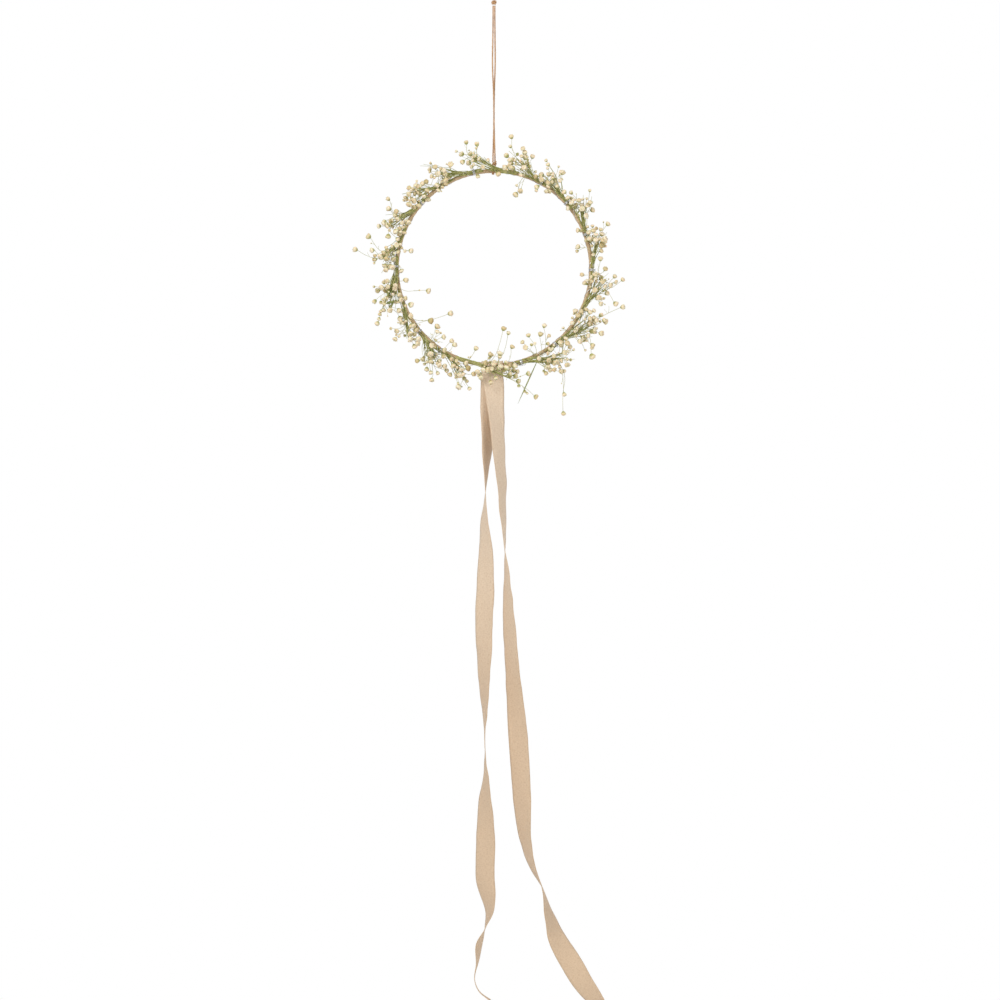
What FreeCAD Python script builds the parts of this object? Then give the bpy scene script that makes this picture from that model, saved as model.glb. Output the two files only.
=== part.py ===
import FreeCAD
import Part
import math
import os
import random

from FreeCAD import Vector

# Hanging dried-flower wreath, millimetres. The origin is where a hook bears inside the hanging eye.
# +Z is up and the front of the wreath faces -Y.

# Hoop
hoop_radius = 100.0
core_wire_radius = 1.5
tape_thickness = 0.6
tape_radius = core_wire_radius + tape_thickness

# Twine hanger
twine_radius = 0.75
eye_height = 21.0
eye_half_width = 5.6
knot_radius = 3.0
hanger_length = 173.5
hitch_offset = -0.9
hitch_knot_radius = 2.9
hitch_knot_gap = 0.05
running_clearance = 0.3

# Ribbon
ribbon_width = 22.0
ribbon_thickness = 0.5
ribbon_offset = -1.7
ribbon_drop = ribbon_width / 2 + 1.0
fold_clearance = 0.7
fold_lift = 0.8

# Gypsophila
stem_radius = 0.5
stem_tail = 13.0
stem_lead = 10.5
stem_gap = 0.04
stem_seat_gap = 0.3
binding_gap = 0.12
stem_seat_side = 44.0
stem_seat_front = 12.0
stalk_radius = 0.22
stalk_shortest = 5.0
stalk_longest = 24.0
stalk_clear_of_stem = 1.2
leaf_thickness = 0.3
leaf_reach = 0.45
head_radius = 2.6
head_variety = (0.88, 1.08)
bud_radius = 1.5
bud_share = 0.16
binding_wire_radius = 0.2
binding_pitch = 1.6

# How often a stem or a head is laid again where it would meet something
tries = 500

# How far the wreath and the ribbon turn, in degrees
tilt_range = 25.0
ribbon_forward_range = 20.0
ribbon_back_range = 30.0
tail_range = 20.0

# Places that follow from the sizes
knot_z = -eye_height - knot_radius
hoop_top_z = knot_z - hanger_length
hoop_centre_z = hoop_top_z - hoop_radius
hoop_bottom_z = hoop_centre_z - hoop_radius
wrap_radius = tape_radius + running_clearance + twine_radius
leg_top_z = knot_z - knot_radius - running_clearance
hitch_knot_z = hoop_top_z + wrap_radius + twine_radius + hitch_knot_radius + hitch_knot_gap
hitch_top_z = hitch_knot_z + hitch_knot_radius
stem_seat_radius = tape_radius + stem_radius + stem_seat_gap
binding_radius = stem_seat_radius + stem_radius + binding_wire_radius + binding_gap
fold_inner_radius = tape_radius + fold_clearance
fold_middle_radius = fold_inner_radius + ribbon_thickness / 2
ribbon_pivot_z = hoop_bottom_z - ribbon_drop

# Bunches, round the hoop from the top the way the stems grow: degrees where it is tied, stems, heads,
# length of the fan, how far the fan leans out from the hoop, and how far in front of the hoop it is laid
# where it crosses the hitch or the ribbon.
bunches = {
    1: (353, 6, 9, 50, 19, 3.0),
    2: (13, 6, 13, 44, 15, 0.0),
    3: (31, 6, 13, 42, 15, 0.0),
    4: (49, 6, 13, 44, 15, 0.0),
    5: (70, 7, 16, 42, 15, 0.0),
    6: (90, 7, 18, 42, 16, 0.0),
    7: (110, 6, 15, 42, 14, 0.0),
    8: (131, 6, 15, 42, 16, 0.0),
    9: (148, 5, 11, 42, 14, 0.0),
    10: (164, 6, 14, 56, 12, 3.4),
    11: (197, 7, 22, 46, 15, 0.0),
    12: (220, 8, 28, 52, 19, 0.0),
    13: (245, 6, 16, 42, 15, 0.0),
    14: (270, 5, 11, 40, 11, 0.0),
    15: (291, 5, 12, 42, 13, 0.0),
    16: (313, 5, 12, 42, 13, 0.0),
    17: (332, 6, 13, 38, 14, 0.0),
}

# Heads that stand clear of their bunch: bunch number, degrees round the hoop, how far out from it
# and how far forward.
stray_heads = [
    (5, 82.5, 44.0, 8.0),
    (5, 78.5, -13.0, 9.0),
    (6, 109.5, -28.5, 10.0),
    (6, 115.5, 33.0, 6.0),
    (7, 136.5, -35.0, 11.0),
    (8, 151.0, 32.0, 8.0),
    (9, 163.5, 28.0, 11.0),
    (10, 189.0, -36.5, 12.0),
    (10, 192.5, -31.0, 10.0),
    (10, 198.0, 39.5, 8.0),
    (11, 205.5, 66.0, 6.0),
    (11, 209.0, 49.0, 9.0),
    (11, 221.0, -21.0, 9.0),
    (12, 228.0, 36.0, 5.0),
    (12, 253.0, 38.5, 9.0),
    (14, 284.0, -11.0, 7.0),
    (17, 343.5, -21.5, 9.0),
    (17, 341.0, -16.5, 12.0),
    (17, 352.5, 36.0, 7.0),
    (16, 332.0, -6.0, 10.0),
    (1, 357.5, -3.5, 9.0),
    (4, 57.0, 30.0, 8.0),
    (5, 76.0, 33.0, 7.0),
    (6, 98.0, -8.5, 8.0),
    (6, 114.0, -6.5, 9.0),
    (7, 130.0, -15.0, 9.0),
    (8, 136.0, -16.0, 7.0),
    (8, 138.5, -12.0, 10.0),
    (8, 140.5, 24.0, 8.0),
    (8, 144.0, -12.0, 8.0),
    (8, 150.0, -13.0, 9.0),
    (8, 153.0, -11.0, 11.0),
    (9, 167.5, -15.0, 9.0),
    (10, 177.5, -11.0, 12.0),
    (10, 184.0, -11.5, 12.0),
    (10, 193.0, -16.5, 9.0),
    (11, 201.0, -18.0, 8.0),
    (11, 201.5, -11.5, 10.0),
    (11, 207.0, -22.0, 9.0),
    (11, 215.0, -16.5, 9.0),
    (13, 253.5, 30.5, 9.0),
    (13, 260.5, -5.5, 9.0),
    (13, 265.5, -9.0, 8.0),
    (14, 291.0, 25.5, 8.0),
    (14, 294.0, -5.5, 9.0),
    (16, 324.0, -3.0, 9.0),
]

# Heads that hang in front of the ribbon's fold: the bunch they grow from, how many, and the part of the
# ring they fill (degrees, out from the hoop and forward of it).
fold_bunch = 10
fold_head_count = 8
fold_degrees = (171.0, 187.0)
fold_out = (-5.0, 11.5)
fold_forward = (8.5, 19.0)

# Leaves and one grass blade: bunch number, where the tip is (degrees, out and forward), then the
# blade's length and width. A thin stalk joins the blade to a stem.
leaves = [
    (6, 104.6, 9.7, 9.0, 9.0, 3.4),
    (6, 106.1, 15.5, 7.8, 10.0, 3.2),
    (6, 108.5, 9.0, 12.0, 9.0, 3.6),
    (6, 111.3, 13.6, 9.6, 8.0, 3.0),
    (2, 24.1, 11.6, 10.0, 7.6, 2.0),
    (8, 149.0, 15.0, 8.0, 11.0, 2.2),
    (11, 190.0, 42.0, 8.0, 26.0, 1.6),
    (12, 236.0, 14.0, 13.0, 9.0, 2.4),
    (15, 305.0, 11.0, 9.0, 9.0, 2.2),
]

# Twine routes: sideways and back in twine radii, and the share of the way from under the knot to the hitch.
left_leg_route = [
    (-1.133, 0, 0),
    (-1.27, -0.2, 0.18),
    (-2.4, -0.533, 0.38),
    (-0.2, -1.27, 0.565),
    (0.0667, -1.31, 0.78),
    (1.2, -0.6, 0.93),
]
right_leg_route = [
    (1.133, 0, 0),
    (1.27, 0.2, 0.18),
    (1.93, 0.533, 0.38),
    (0.133, 1.27, 0.565),
    (-0.0667, 1.31, 0.78),
    (-1.2, 0.6, 0.93),
]

leg_end_aside = 1.467

# Ribbon tails: below the hoop's bottom, sideways, forward, and how far the width is turned, degrees.
right_tail_stations = [
    (ribbon_drop, ribbon_offset, fold_middle_radius, 0.0),
    (26.0, 0.2, 3.4, 24.0),
    (47.0, 1.9, 3.6, 42.0),
    (84.0, 4.9, 4.0, 54.0),
    (135.0, 8.7, 4.6, 68.0),
    (184.0, 10.8, 5.0, 86.0),
    (215.0, 12.9, 5.0, 103.0),
    (254.0, 14.9, 4.8, 121.0),
    (318.0, 19.3, 4.4, 131.0),
    (382.0, 24.9, 4.4, 152.0),
    (444.0, 28.6, 5.0, 147.0),
    (487.0, 32.2, 6.0, 122.0),
    (515.0, 39.0, 7.5, 107.0),
    (538.0, 50.0, 9.0, 90.0),
    (567.0, 57.0, 11.0, 64.0),
    (590.0, 65.0, 12.5, 38.0),
    (614.0, 79.0, 14.0, 8.0),
    (637.0, 93.0, 15.5, -22.0),
    (656.0, 107.5, 17.0, -48.0),
]
left_tail_stations = [
    (ribbon_drop, ribbon_offset, -fold_middle_radius, 0.0),
    (26.0, -2.6, -3.4, 24.0),
    (47.0, -3.9, -3.8, 42.0),
    (84.0, -6.2, -4.2, 64.0),
    (131.0, -8.8, -4.4, 90.0),
    (160.0, -9.8, -4.2, 109.0),
    (190.0, -8.6, -4.0, 128.0),
    (232.0, -9.0, -3.6, 145.0),
    (266.0, -10.2, -3.2, 144.0),
    (305.0, -10.2, -2.8, 130.0),
    (348.0, -9.8, -2.4, 108.0),
    (392.0, -9.2, -2.0, 90.0),
    (425.0, -8.4, -1.6, 105.0),
    (450.0, -9.2, -1.4, 126.0),
    (487.0, -8.4, -1.0, 150.0),
    (530.0, -9.2, -0.6, 149.0),
    (560.0, -4.6, 0.0, 116.0),
    (578.0, -8.4, 1.0, 92.0),
    (596.0, -14.8, 2.0, 74.0),
    (616.0, -17.6, 3.0, 84.0),
    (632.0, -20.0, 4.0, 90.0),
    (645.0, -15.0, 5.0, 90.0),
    (654.0, -3.6, 6.0, 90.0),
]


def save(name, solids):
    """Write one sub-part, a solid or a group of separate solids."""
    shape = solids[0] if len(solids) == 1 else Part.makeCompound(solids)
    shape.exportStep("parts/" + name + ".step")


def hoop_point(degrees, out=0.0, forward=0.0):
    """A point beside the hoop's centreline, counted from the top towards -X, down and round."""
    angle = math.radians(degrees)
    radius = hoop_radius + out
    return Vector(-radius * math.sin(angle), -forward, hoop_centre_z + radius * math.cos(angle))


def along_hoop(degrees):
    """The way the stems grow at this place on the hoop."""
    angle = math.radians(degrees)
    return Vector(-math.cos(angle), 0, -math.sin(angle))


def away_from_hoop(degrees):
    """Straight out from the hoop's centre."""
    angle = math.radians(degrees)
    return Vector(-math.sin(angle), 0, math.cos(angle))


def degrees_for(length):
    """The turn round the hoop that an arc of this length makes."""
    return math.degrees(length / hoop_radius)


def bend(before, corner, after):
    """The arc that rounds a corner between two runs: where it starts, its middle, its end, its radius."""
    back = before - corner
    on = after - corner
    reach = 0.45 * min(back.Length, on.Length)
    back.normalize()
    on.normalize()
    half_turn = (math.pi - back.getAngle(on)) / 2
    radius = reach / math.tan(half_turn)
    inward = back + on
    inward.normalize()
    middle = corner + inward * (radius / math.cos(half_turn) - radius)
    return corner + back * reach, middle, corner + on * reach, radius


def route_wire(points):
    """Straight runs joined by tangent arcs, and the radii of the arcs."""
    edges = []
    radii = []
    start = points[0]
    for before, corner, after in zip(points, points[1:], points[2:]):
        arc_start, middle, arc_end, radius = bend(before, corner, after)
        edges.append(Part.LineSegment(start, arc_start).toShape())
        edges.append(Part.Arc(arc_start, middle, arc_end).toShape())
        radii.append(radius)
        start = arc_end
    edges.append(Part.LineSegment(start, points[-1]).toShape())
    return Part.Wire(edges), radii


def tube(points, radius):
    """A round bar along a route."""
    path, radii = route_wire(points)
    section = Part.Wire([Part.makeCircle(radius, points[0], points[1] - points[0])])
    return path.makePipeShell([section], True, True), path.Length, radii


def cord(name, points):
    """A length of twine, with its bends and its volume checked against its section and length."""
    solid, length, radii = tube(points, twine_radius)
    expected = math.pi * twine_radius**2 * length
    print(f"{name}: length {length:.1f} mm, radii {[round(r) for r in radii]} mm, "
          f"volume {solid.Volume:.1f} of {expected:.1f} mm3")
    save(name, [solid])


def make_hoop():
    """The wire hoop and the paper tape wound round it."""
    place = Vector(0, 0, hoop_centre_z)
    core = Part.makeTorus(hoop_radius, core_wire_radius, place, Vector(0, 1, 0))
    skin = Part.makeTorus(hoop_radius, tape_radius, place, Vector(0, 1, 0))
    save("ring_core_wire", [core])
    save("ring_paper_tape", [skin.cut(core)])


def make_hanger():
    """The eye, the top knot, the two legs of twine and the hitch round the hoop."""
    half = eye_half_width
    rise = [
        (0.16, 0.0),
        (0.66, 0.24),
        (1.0, 0.48),
        (1.02, 0.78),
        (0.52, 1.0),
    ]
    eye_top = twine_radius
    eye_foot = -eye_height + 0.4
    left_side = [Vector(-half * w, 0, eye_foot + (eye_top - eye_foot) * h) for w, h in rise]
    right_side = [Vector(-p.x, 0, p.z) for p in reversed(left_side)]
    cord("hanging_eye_loop", left_side + right_side)
    save("twine_top_knot", [Part.makeSphere(knot_radius, Vector(0, 0, knot_z))])
    leg_end = Vector(0, 0, hitch_top_z + running_clearance)
    for name, route, side in (
        ("twine_leg_left", left_leg_route, 1),
        ("twine_leg_right", right_leg_route, -1),
    ):
        points = [
            Vector(x * twine_radius, y * twine_radius, leg_top_z + (leg_end.z - leg_top_z) * share)
            for x, y, share in route
        ]
        cord(name, points + [leg_end + Vector(side * leg_end_aside * twine_radius, 0, 0)])
    wraps = []
    for side in (-1, 1):
        centre = Vector(hitch_offset + side * twine_radius * 1.1, 0, hoop_top_z)
        wraps.append(Part.makeTorus(wrap_radius, twine_radius, centre, Vector(1, 0, 0)))
    bar_y = wrap_radius + twine_radius * 2
    bar_start = Vector(hitch_offset - twine_radius * 1.1, bar_y, hoop_top_z)
    bar = Part.makeCylinder(twine_radius, twine_radius * 2.2, bar_start, Vector(1, 0, 0))
    knot = Part.makeSphere(hitch_knot_radius, Vector(0, 0, hitch_knot_z))
    save("twine_hitch", wraps + [bar, knot])


def ribbon_leg(side):
    """One flat side of the fold, cut round below so that the tail can turn under it."""
    y = side * fold_middle_radius - ribbon_thickness / 2
    top_z = hoop_bottom_z + fold_lift
    corner = Vector(ribbon_offset - ribbon_width / 2, y, ribbon_pivot_z)
    plate = Part.makeBox(ribbon_width, ribbon_thickness, top_z - ribbon_pivot_z, corner)
    hole_radius = ribbon_width / 2 + running_clearance
    pivot = Vector(ribbon_offset, y - 1, ribbon_pivot_z)
    return plate.cut(Part.makeCylinder(hole_radius, ribbon_thickness + 2, pivot, Vector(0, 1, 0)))


def make_ribbon_fold():
    """The ribbon's turn over the bottom of the hoop."""
    start = Vector(ribbon_offset - ribbon_width / 2, 0, hoop_bottom_z + fold_lift)
    along = Vector(1, 0, 0)
    outer_radius = fold_inner_radius + ribbon_thickness
    outer = Part.makeCylinder(outer_radius, ribbon_width, start, along)
    inner = Part.makeCylinder(fold_inner_radius, ribbon_width, start, along)
    size = outer_radius * 2
    below = Part.makeBox(ribbon_width, size, size, start + Vector(0, -outer_radius, -size))
    bight = outer.cut(inner).cut(below)
    save("ribbon_fold", [bight.fuse(ribbon_leg(-1)).fuse(ribbon_leg(1)).removeSplitter()])


def tail_section(centre, along, turn):
    """The ribbon's cross-section, with its width turned about the way it runs."""
    along.normalize()
    flat = along.cross(Vector(0, 1, 0)) * -1
    flat.normalize()
    if flat.x < 0:
        flat = flat * -1
    back = Vector(0, 1, 0)
    angle = math.radians(turn)
    wide = flat * math.cos(angle) + back * math.sin(angle)
    thin = wide.cross(along)
    thin.normalize()
    corners = []
    for across, through in ((-1, -1), (1, -1), (1, 1), (-1, 1)):
        offset = wide * (across * ribbon_width / 2) + thin * (through * ribbon_thickness / 2)
        corners.append(centre + offset)
    return Part.makePolygon(corners + corners[:1])


def make_tail(name, stations):
    """One hanging tail: a thin twisted strip with a round top that turns under the fold."""
    centres = [Vector(x, -forward, hoop_bottom_z - down) for down, x, forward, _ in stations]
    sections = []
    for i, (_, _, _, turn) in enumerate(stations):
        along = centres[min(i + 1, len(centres) - 1)] - centres[max(i - 1, 0)]
        if i == 0:
            along = Vector(0, 0, -1)
        sections.append(tail_section(centres[i], along, turn))
    strip = Part.makeLoft(sections, True, True)
    y = centres[0].y - ribbon_thickness / 2
    disc = Part.makeCylinder(ribbon_width / 2, ribbon_thickness, Vector(ribbon_offset, y, ribbon_pivot_z),
                             Vector(0, 1, 0))
    lower = Part.makeBox(ribbon_width, ribbon_thickness, ribbon_width,
                         Vector(ribbon_offset - ribbon_width / 2, y, ribbon_pivot_z - ribbon_width))
    top = disc.cut(lower)
    tail = strip.fuse(top)
    length = sum((b - a).Length for a, b in zip(centres, centres[1:]))
    print(f"{name}: length {length:.0f} mm, volume {tail.Volume:.0f} mm3, solids {len(tail.Solids)}")
    save(name, tail.Solids)


def swept(across, along, radius, way, half_thickness, before, after):
    """Whether a ball meets a strip that turns from before to after about an axis; across and along place
    the ball from the axis, and way is the strip's own direction in degrees."""
    distance = math.hypot(across, along)
    room = math.degrees(math.asin(min(1.0, (half_thickness + radius) / max(distance, 0.01))))
    angle = math.degrees(math.atan2(along, across)) - way
    angle = (angle + 180.0) % 360.0 - 180.0
    return -before - room < angle < after + room


def meets_twine(point, radius):
    """Whether a ball would meet the hitch or the hanger at some tilt of the wreath."""
    if abs(point.x) > hitch_knot_radius + 0.4 + radius:
        return False
    forward = -point.y
    height = point.z - hoop_top_z
    if height < -tape_radius - 6 - radius:
        return False
    distance = math.hypot(forward, height)
    if distance - radius < wrap_radius + twine_radius + 0.6:
        return True
    half = hitch_knot_radius + 0.4 if point.z < hitch_top_z + 3.0 + radius else twine_radius * 2.5
    return swept(forward, height, radius, 90.0, half, tilt_range, tilt_range)


def meets_ribbon(point, radius):
    """Whether a ball would meet the fold or a tail at some swing of the ribbon."""
    forward = -point.y
    depth = hoop_bottom_z - point.z
    aside = max(0.0, depth - ribbon_drop) * math.tan(math.radians(tail_range + 1.0))
    if abs(point.x - ribbon_offset) > ribbon_width / 2 + 2.0 + radius + aside:
        return False
    if depth > 30:
        return True
    if depth < -14:
        return False
    distance = math.hypot(forward, depth)
    if distance - radius < fold_inner_radius + ribbon_thickness + fold_lift + 0.6:
        return True
    return swept(depth, forward, radius, 0.0, 4.2, ribbon_back_range, ribbon_forward_range)


def meets_tape(point, radius):
    """Whether a ball would cut the hoop."""
    flat = math.hypot(point.x, point.z - hoop_centre_z) - hoop_radius
    return math.hypot(flat, point.y) < tape_radius + radius + 0.1


def is_clear(point, radius):
    """Whether a ball keeps clear of the hoop and of everything that moves."""
    if meets_tape(point, radius):
        return False
    return not meets_twine(point, radius) and not meets_ribbon(point, radius)


def run_is_clear(start, end, radius):
    """Whether a straight stem or stalk keeps clear all along."""
    steps = max(2, int((end - start).Length / 2))
    return all(is_clear(start + (end - start) * (i / steps), radius) for i in range(steps + 1))


def gap_to_run(point, start, end):
    """The distance from a point to a straight run."""
    run = end - start
    share = max(0.0, min(1.0, (point - start).dot(run) / run.dot(run)))
    return (point - (start + run * share)).Length


def gap_between_runs(a, b, c, d):
    """The distance between two straight runs."""
    first = b - a
    second = d - c
    across = first.cross(second)
    square = across.dot(across)
    if square > 1e-9:
        share = (c - a).cross(second).dot(across) / square
        other = (c - a).cross(first).dot(across) / square
        if 0.0 < share < 1.0 and 0.0 < other < 1.0:
            return abs((c - a).dot(across)) / math.sqrt(square)
    return min(gap_to_run(a, c, d), gap_to_run(b, c, d), gap_to_run(c, a, b), gap_to_run(d, a, b))


def rod(start, end, radius):
    """A straight rod or, where start and end are one place, a ball, as the layout keeps it."""
    return start, end, radius, (start + end) * 0.5, (end - start).Length / 2


def rods_touch(one, other):
    """Whether two rods come nearer than a hair's breadth."""
    reach = one[2] + other[2] + stem_gap
    if (one[3] - other[3]).Length > one[4] + other[4] + reach:
        return False
    if one[4] < 0.001:
        return gap_to_run(one[0], other[0], other[1] + Vector(0, 0, 0.0001)) < reach
    if other[4] < 0.001:
        return gap_to_run(other[0], one[0], one[1]) < reach
    return gap_between_runs(one[0], one[1], other[0], other[1]) < reach


def meets_binding(point, radius):
    """Whether a ball would cut the turns of wire at some tie."""
    flat = math.hypot(point.x, point.z - hoop_centre_z) - hoop_radius
    distance = math.hypot(flat, point.y)
    if abs(distance - binding_radius) > binding_wire_radius + radius + stem_gap:
        return False
    degrees = math.degrees(math.atan2(-point.x, point.z - hoop_centre_z)) % 360.0
    room = degrees_for(binding_pitch + binding_wire_radius + radius + stem_gap)
    return any(abs((degrees - values[0] + 180.0) % 360.0 - 180.0) < room for values in bunches.values())


def clear_of(rods, laid, steps_apart=1.0):
    """Whether new rods keep clear of those laid so far and of the binding wire."""
    for new in rods:
        if any(rods_touch(new, old) for old in laid):
            return False
        steps = max(1, int(new[4] * 2 / steps_apart))
        for i in range(steps + 1):
            if meets_binding(new[0] + (new[1] - new[0]) * (i / steps), new[2]):
                return False
    return True


def stem_rods(points):
    """A stem's rods, which follow its bend, less the stretch under its own wire."""
    cut_end, corner, tip = points
    arc_start, middle, arc_end, _ = bend(cut_end, corner, tip)
    return [
        rod(cut_end, arc_start, stem_radius),
        rod(arc_start, middle, stem_radius),
        rod(middle, arc_end, stem_radius),
        rod(arc_end, tip, stem_radius),
    ]


def lay_stems(start, count, length, lean, over, laid, rng):
    """The routes of one bunch's stems: cut end, the bend past the tie, and the tip."""
    pitch = 2 * math.degrees(math.asin((stem_radius + stem_gap) / stem_seat_radius))
    middle_seat = stem_seat_side if over == 0.0 else stem_seat_front
    along = along_hoop(start)
    stems = []
    for i in range(count):
        seat = math.radians(middle_seat + pitch * (i - (count - 1) / 2))
        out = stem_seat_radius * math.sin(seat)
        forward = stem_seat_radius * math.cos(seat) + over
        tie = hoop_point(start, out, forward)
        cut_end = tie - along * (stem_tail * rng.uniform(0.7, 1.1))
        corner = tie + along * stem_lead
        for _ in range(tries):
            reach = length * rng.uniform(0.5, 0.85)
            tip_out = lean * reach / length * rng.uniform(0.4, 1.7)
            tip_forward = forward + rng.uniform(1.0, 10.0)
            tip = hoop_point(start + degrees_for(reach), max(2.8, tip_out), tip_forward)
            rods = stem_rods([cut_end, corner, tip])
            if not all(run_is_clear(r[0], r[1], stem_radius) for r in rods):
                continue
            if clear_of(rods[1:], laid) and not any(rods_touch(rods[0], old) for old in laid):
                laid.extend(rods)
                stems.append([cut_end, corner, tip])
                break
    return stems


def head_fits(centre, radius, root, laid):
    """Whether a head and its stalk keep clear of the moving parts, the wire and all that is laid."""
    if not is_clear(centre, radius + 0.1) or not run_is_clear(root, centre, stalk_radius):
        return False
    way = (centre - root).normalize()
    stalk = rod(root + way * stalk_clear_of_stem, centre - way * radius, stalk_radius)
    return clear_of([rod(centre, centre, radius), stalk], laid, 0.5)


def keep_head(centre, radius, root, laid):
    """Add a head and its stalk to what is laid."""
    way = (centre - root).normalize()
    laid.append(rod(centre, centre, radius))
    laid.append(rod(root + way * stalk_clear_of_stem, centre - way * radius, stalk_radius))
    return centre, radius, root


def stem_points(stems):
    """Points along the stems, past their bends, from which a stalk may grow."""
    return [stem[1] + (stem[2] - stem[1]) * (share / 10) for stem in stems for share in range(1, 11)]


def place_head(stems, centre, radius, laid):
    """A head at a given place, on the stem point that suits it best, or None if it fits nowhere."""
    for root in sorted(stem_points(stems), key=lambda p: (p - centre).Length):
        if (root - centre).Length > stalk_shortest and head_fits(centre, radius, root, laid):
            return keep_head(centre, radius, root, laid)
    return None


def lay_heads(start, count, length, lean, stems, laid, rng):
    """The heads of one bunch: each hangs on a straight stalk from a point on a stem."""
    heads = []
    for _ in range(count):
        whole = bud_radius if rng.random() < bud_share else head_radius
        radius = whole * rng.uniform(*head_variety)
        for _ in range(tries):
            stem = rng.choice(stems)
            root = stem[1] + (stem[2] - stem[1]) * rng.uniform(0.1, 1.0)
            along = length * rng.triangular(0.1, 1.45, 0.75)
            out = rng.triangular(-0.35, 2.0, 0.85) * lean
            forward = rng.triangular(-2.0, 19.0, 8.0)
            centre = hoop_point(start + degrees_for(along), out, forward)
            stalk = (centre - root).Length
            if not stalk_shortest < stalk < stalk_longest:
                continue
            if (centre - root).dot(along_hoop(start + degrees_for(along))) < -0.2 * stalk:
                continue
            if head_fits(centre, radius, root, laid):
                heads.append(keep_head(centre, radius, root, laid))
                break
    return heads


def floret(centre, radius, root):
    """A round head on its stalk, turned in one piece about the stalk's axis."""
    way = centre - root
    middle = way.Length
    neck = middle - math.sqrt(radius**2 - stalk_radius**2)
    foot = Vector(0, 0, stem_radius)
    side = Vector(stalk_radius, 0, stem_radius)
    shoulder = Vector(stalk_radius, 0, neck)
    crown = Vector(0, 0, middle + radius)
    edges = [
        Part.LineSegment(foot, side).toShape(),
        Part.LineSegment(side, shoulder).toShape(),
        Part.Arc(shoulder, Vector(radius, 0, middle), crown).toShape(),
        Part.LineSegment(crown, foot).toShape(),
    ]
    solid = Part.Face(Part.Wire(edges)).revolve(Vector(0, 0, 0), Vector(0, 0, 1), 360)
    solid.Placement = FreeCAD.Placement(root, FreeCAD.Rotation(Vector(0, 0, 1), way))
    return solid


def leaf(root, tip, length, width):
    """A flat pointed leaf on a thin stalk that grows from a stem."""
    way = (tip - root).normalize()
    side = way.cross(Vector(0, 1, 0)).normalize()
    foot = root + way * stem_radius
    neck = tip - way * length
    middle = tip - way * (length * 0.55)
    half = side * stalk_radius
    edges = [
        Part.LineSegment(foot - half, foot + half).toShape(),
        Part.LineSegment(foot + half, neck + half).toShape(),
        Part.Arc(neck + half, middle + side * (width / 2), tip).toShape(),
        Part.Arc(tip, middle - side * (width / 2), neck - half).toShape(),
        Part.LineSegment(neck - half, foot - half).toShape(),
    ]
    return Part.Face(Part.Wire(edges)).extrude(side.cross(way) * leaf_thickness)


def make_binding():
    """Turns of fine wire round the hoop and the stems, where each bunch is tied."""
    turns = []
    for start, _, _, _, _, _ in bunches.values():
        for i in (-1, 0, 1):
            degrees = start + degrees_for(i * binding_pitch)
            centre = hoop_point(degrees)
            near_hitch = abs(centre.x) < 6 and centre.z > hoop_centre_z
            near_ribbon = abs(centre.x - ribbon_offset) < ribbon_width / 2 + 1 and centre.z < hoop_centre_z
            if not near_hitch and not near_ribbon:
                turns.append(Part.makeTorus(binding_radius, binding_wire_radius, centre, along_hoop(degrees)))
    save("binding_wire", turns)


def lay_fold_heads(stems, laid, rng):
    """The heads that hang in front of the ribbon's fold, clear of its swing."""
    heads = []
    for _ in range(tries * 12):
        centre = hoop_point(rng.uniform(*fold_degrees), rng.uniform(*fold_out), rng.uniform(*fold_forward))
        radius = head_radius * rng.uniform(*head_variety)
        if len(heads) < fold_head_count:
            head = place_head(stems, centre, radius, laid)
            heads += [head] if head else []
    return heads


def lay_leaves(stems_of, laid):
    """The leaves, each on the nearest stem point from which it keeps clear."""
    shapes = []
    for number, degrees, out, forward, length, width in leaves:
        tip = hoop_point(degrees, out, forward)
        roots = stem_points(stems_of[number])
        for root in sorted(roots, key=lambda p: (p - tip).Length):
            way = (tip - root).normalize()
            stalk = rod(root + way * stalk_clear_of_stem, tip - way * length, stalk_radius)
            blade = rod(tip - way * length, tip, width * leaf_reach)
            if (tip - root).Length < length + 2.0 or not run_is_clear(root, tip, width * leaf_reach):
                continue
            if clear_of([stalk, blade], laid):
                laid.extend([stalk, blade])
                shapes.append(leaf(root, tip, length, width))
                break
    return shapes


def make_sprigs():
    """Every bunch of gypsophila, its stems and its heads, and the heads that stand clear."""
    rng = random.Random(41)
    laid = []
    stems_of = {}
    for number, (start, count, _, length, lean, over) in bunches.items():
        stems_of[number] = lay_stems(start, count, length, lean, over, laid, rng)
    blades = lay_leaves(stems_of, laid)
    print("leaves", len(blades), "of", len(leaves))
    save("sprig_leaves", blades)
    strays = []
    for number, degrees, out, forward in stray_heads:
        radius = head_radius * rng.uniform(*head_variety)
        strays.append(place_head(stems_of[number], hoop_point(degrees, out, forward), radius, laid))
    print("stray heads left out", [s for s, head in zip(stray_heads, strays) if head is None])
    save("stray_heads", [floret(*head) for head in strays if head])
    for number, (start, _, count, length, lean, _) in bunches.items():
        stems = stems_of[number]
        heads = []
        if number == fold_bunch:
            heads = lay_fold_heads(stems, laid, rng)
        heads += lay_heads(start, count, length, lean, stems, laid, rng)
        save(f"sprig_{number:02d}_stems", [tube(stem, stem_radius)[0] for stem in stems])
        save(f"sprig_{number:02d}_heads", [floret(*head) for head in heads])


os.makedirs("parts", exist_ok=True)
make_hoop()
make_hanger()
make_ribbon_fold()
make_tail("ribbon_tail_right", right_tail_stations)
make_tail("ribbon_tail_left", left_tail_stations)
make_binding()
make_sprigs()
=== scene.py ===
"""A hanging wreath of dried gypsophila on a taped wire hoop, with its twine loop and linen ribbon."""

import math
import random

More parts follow.
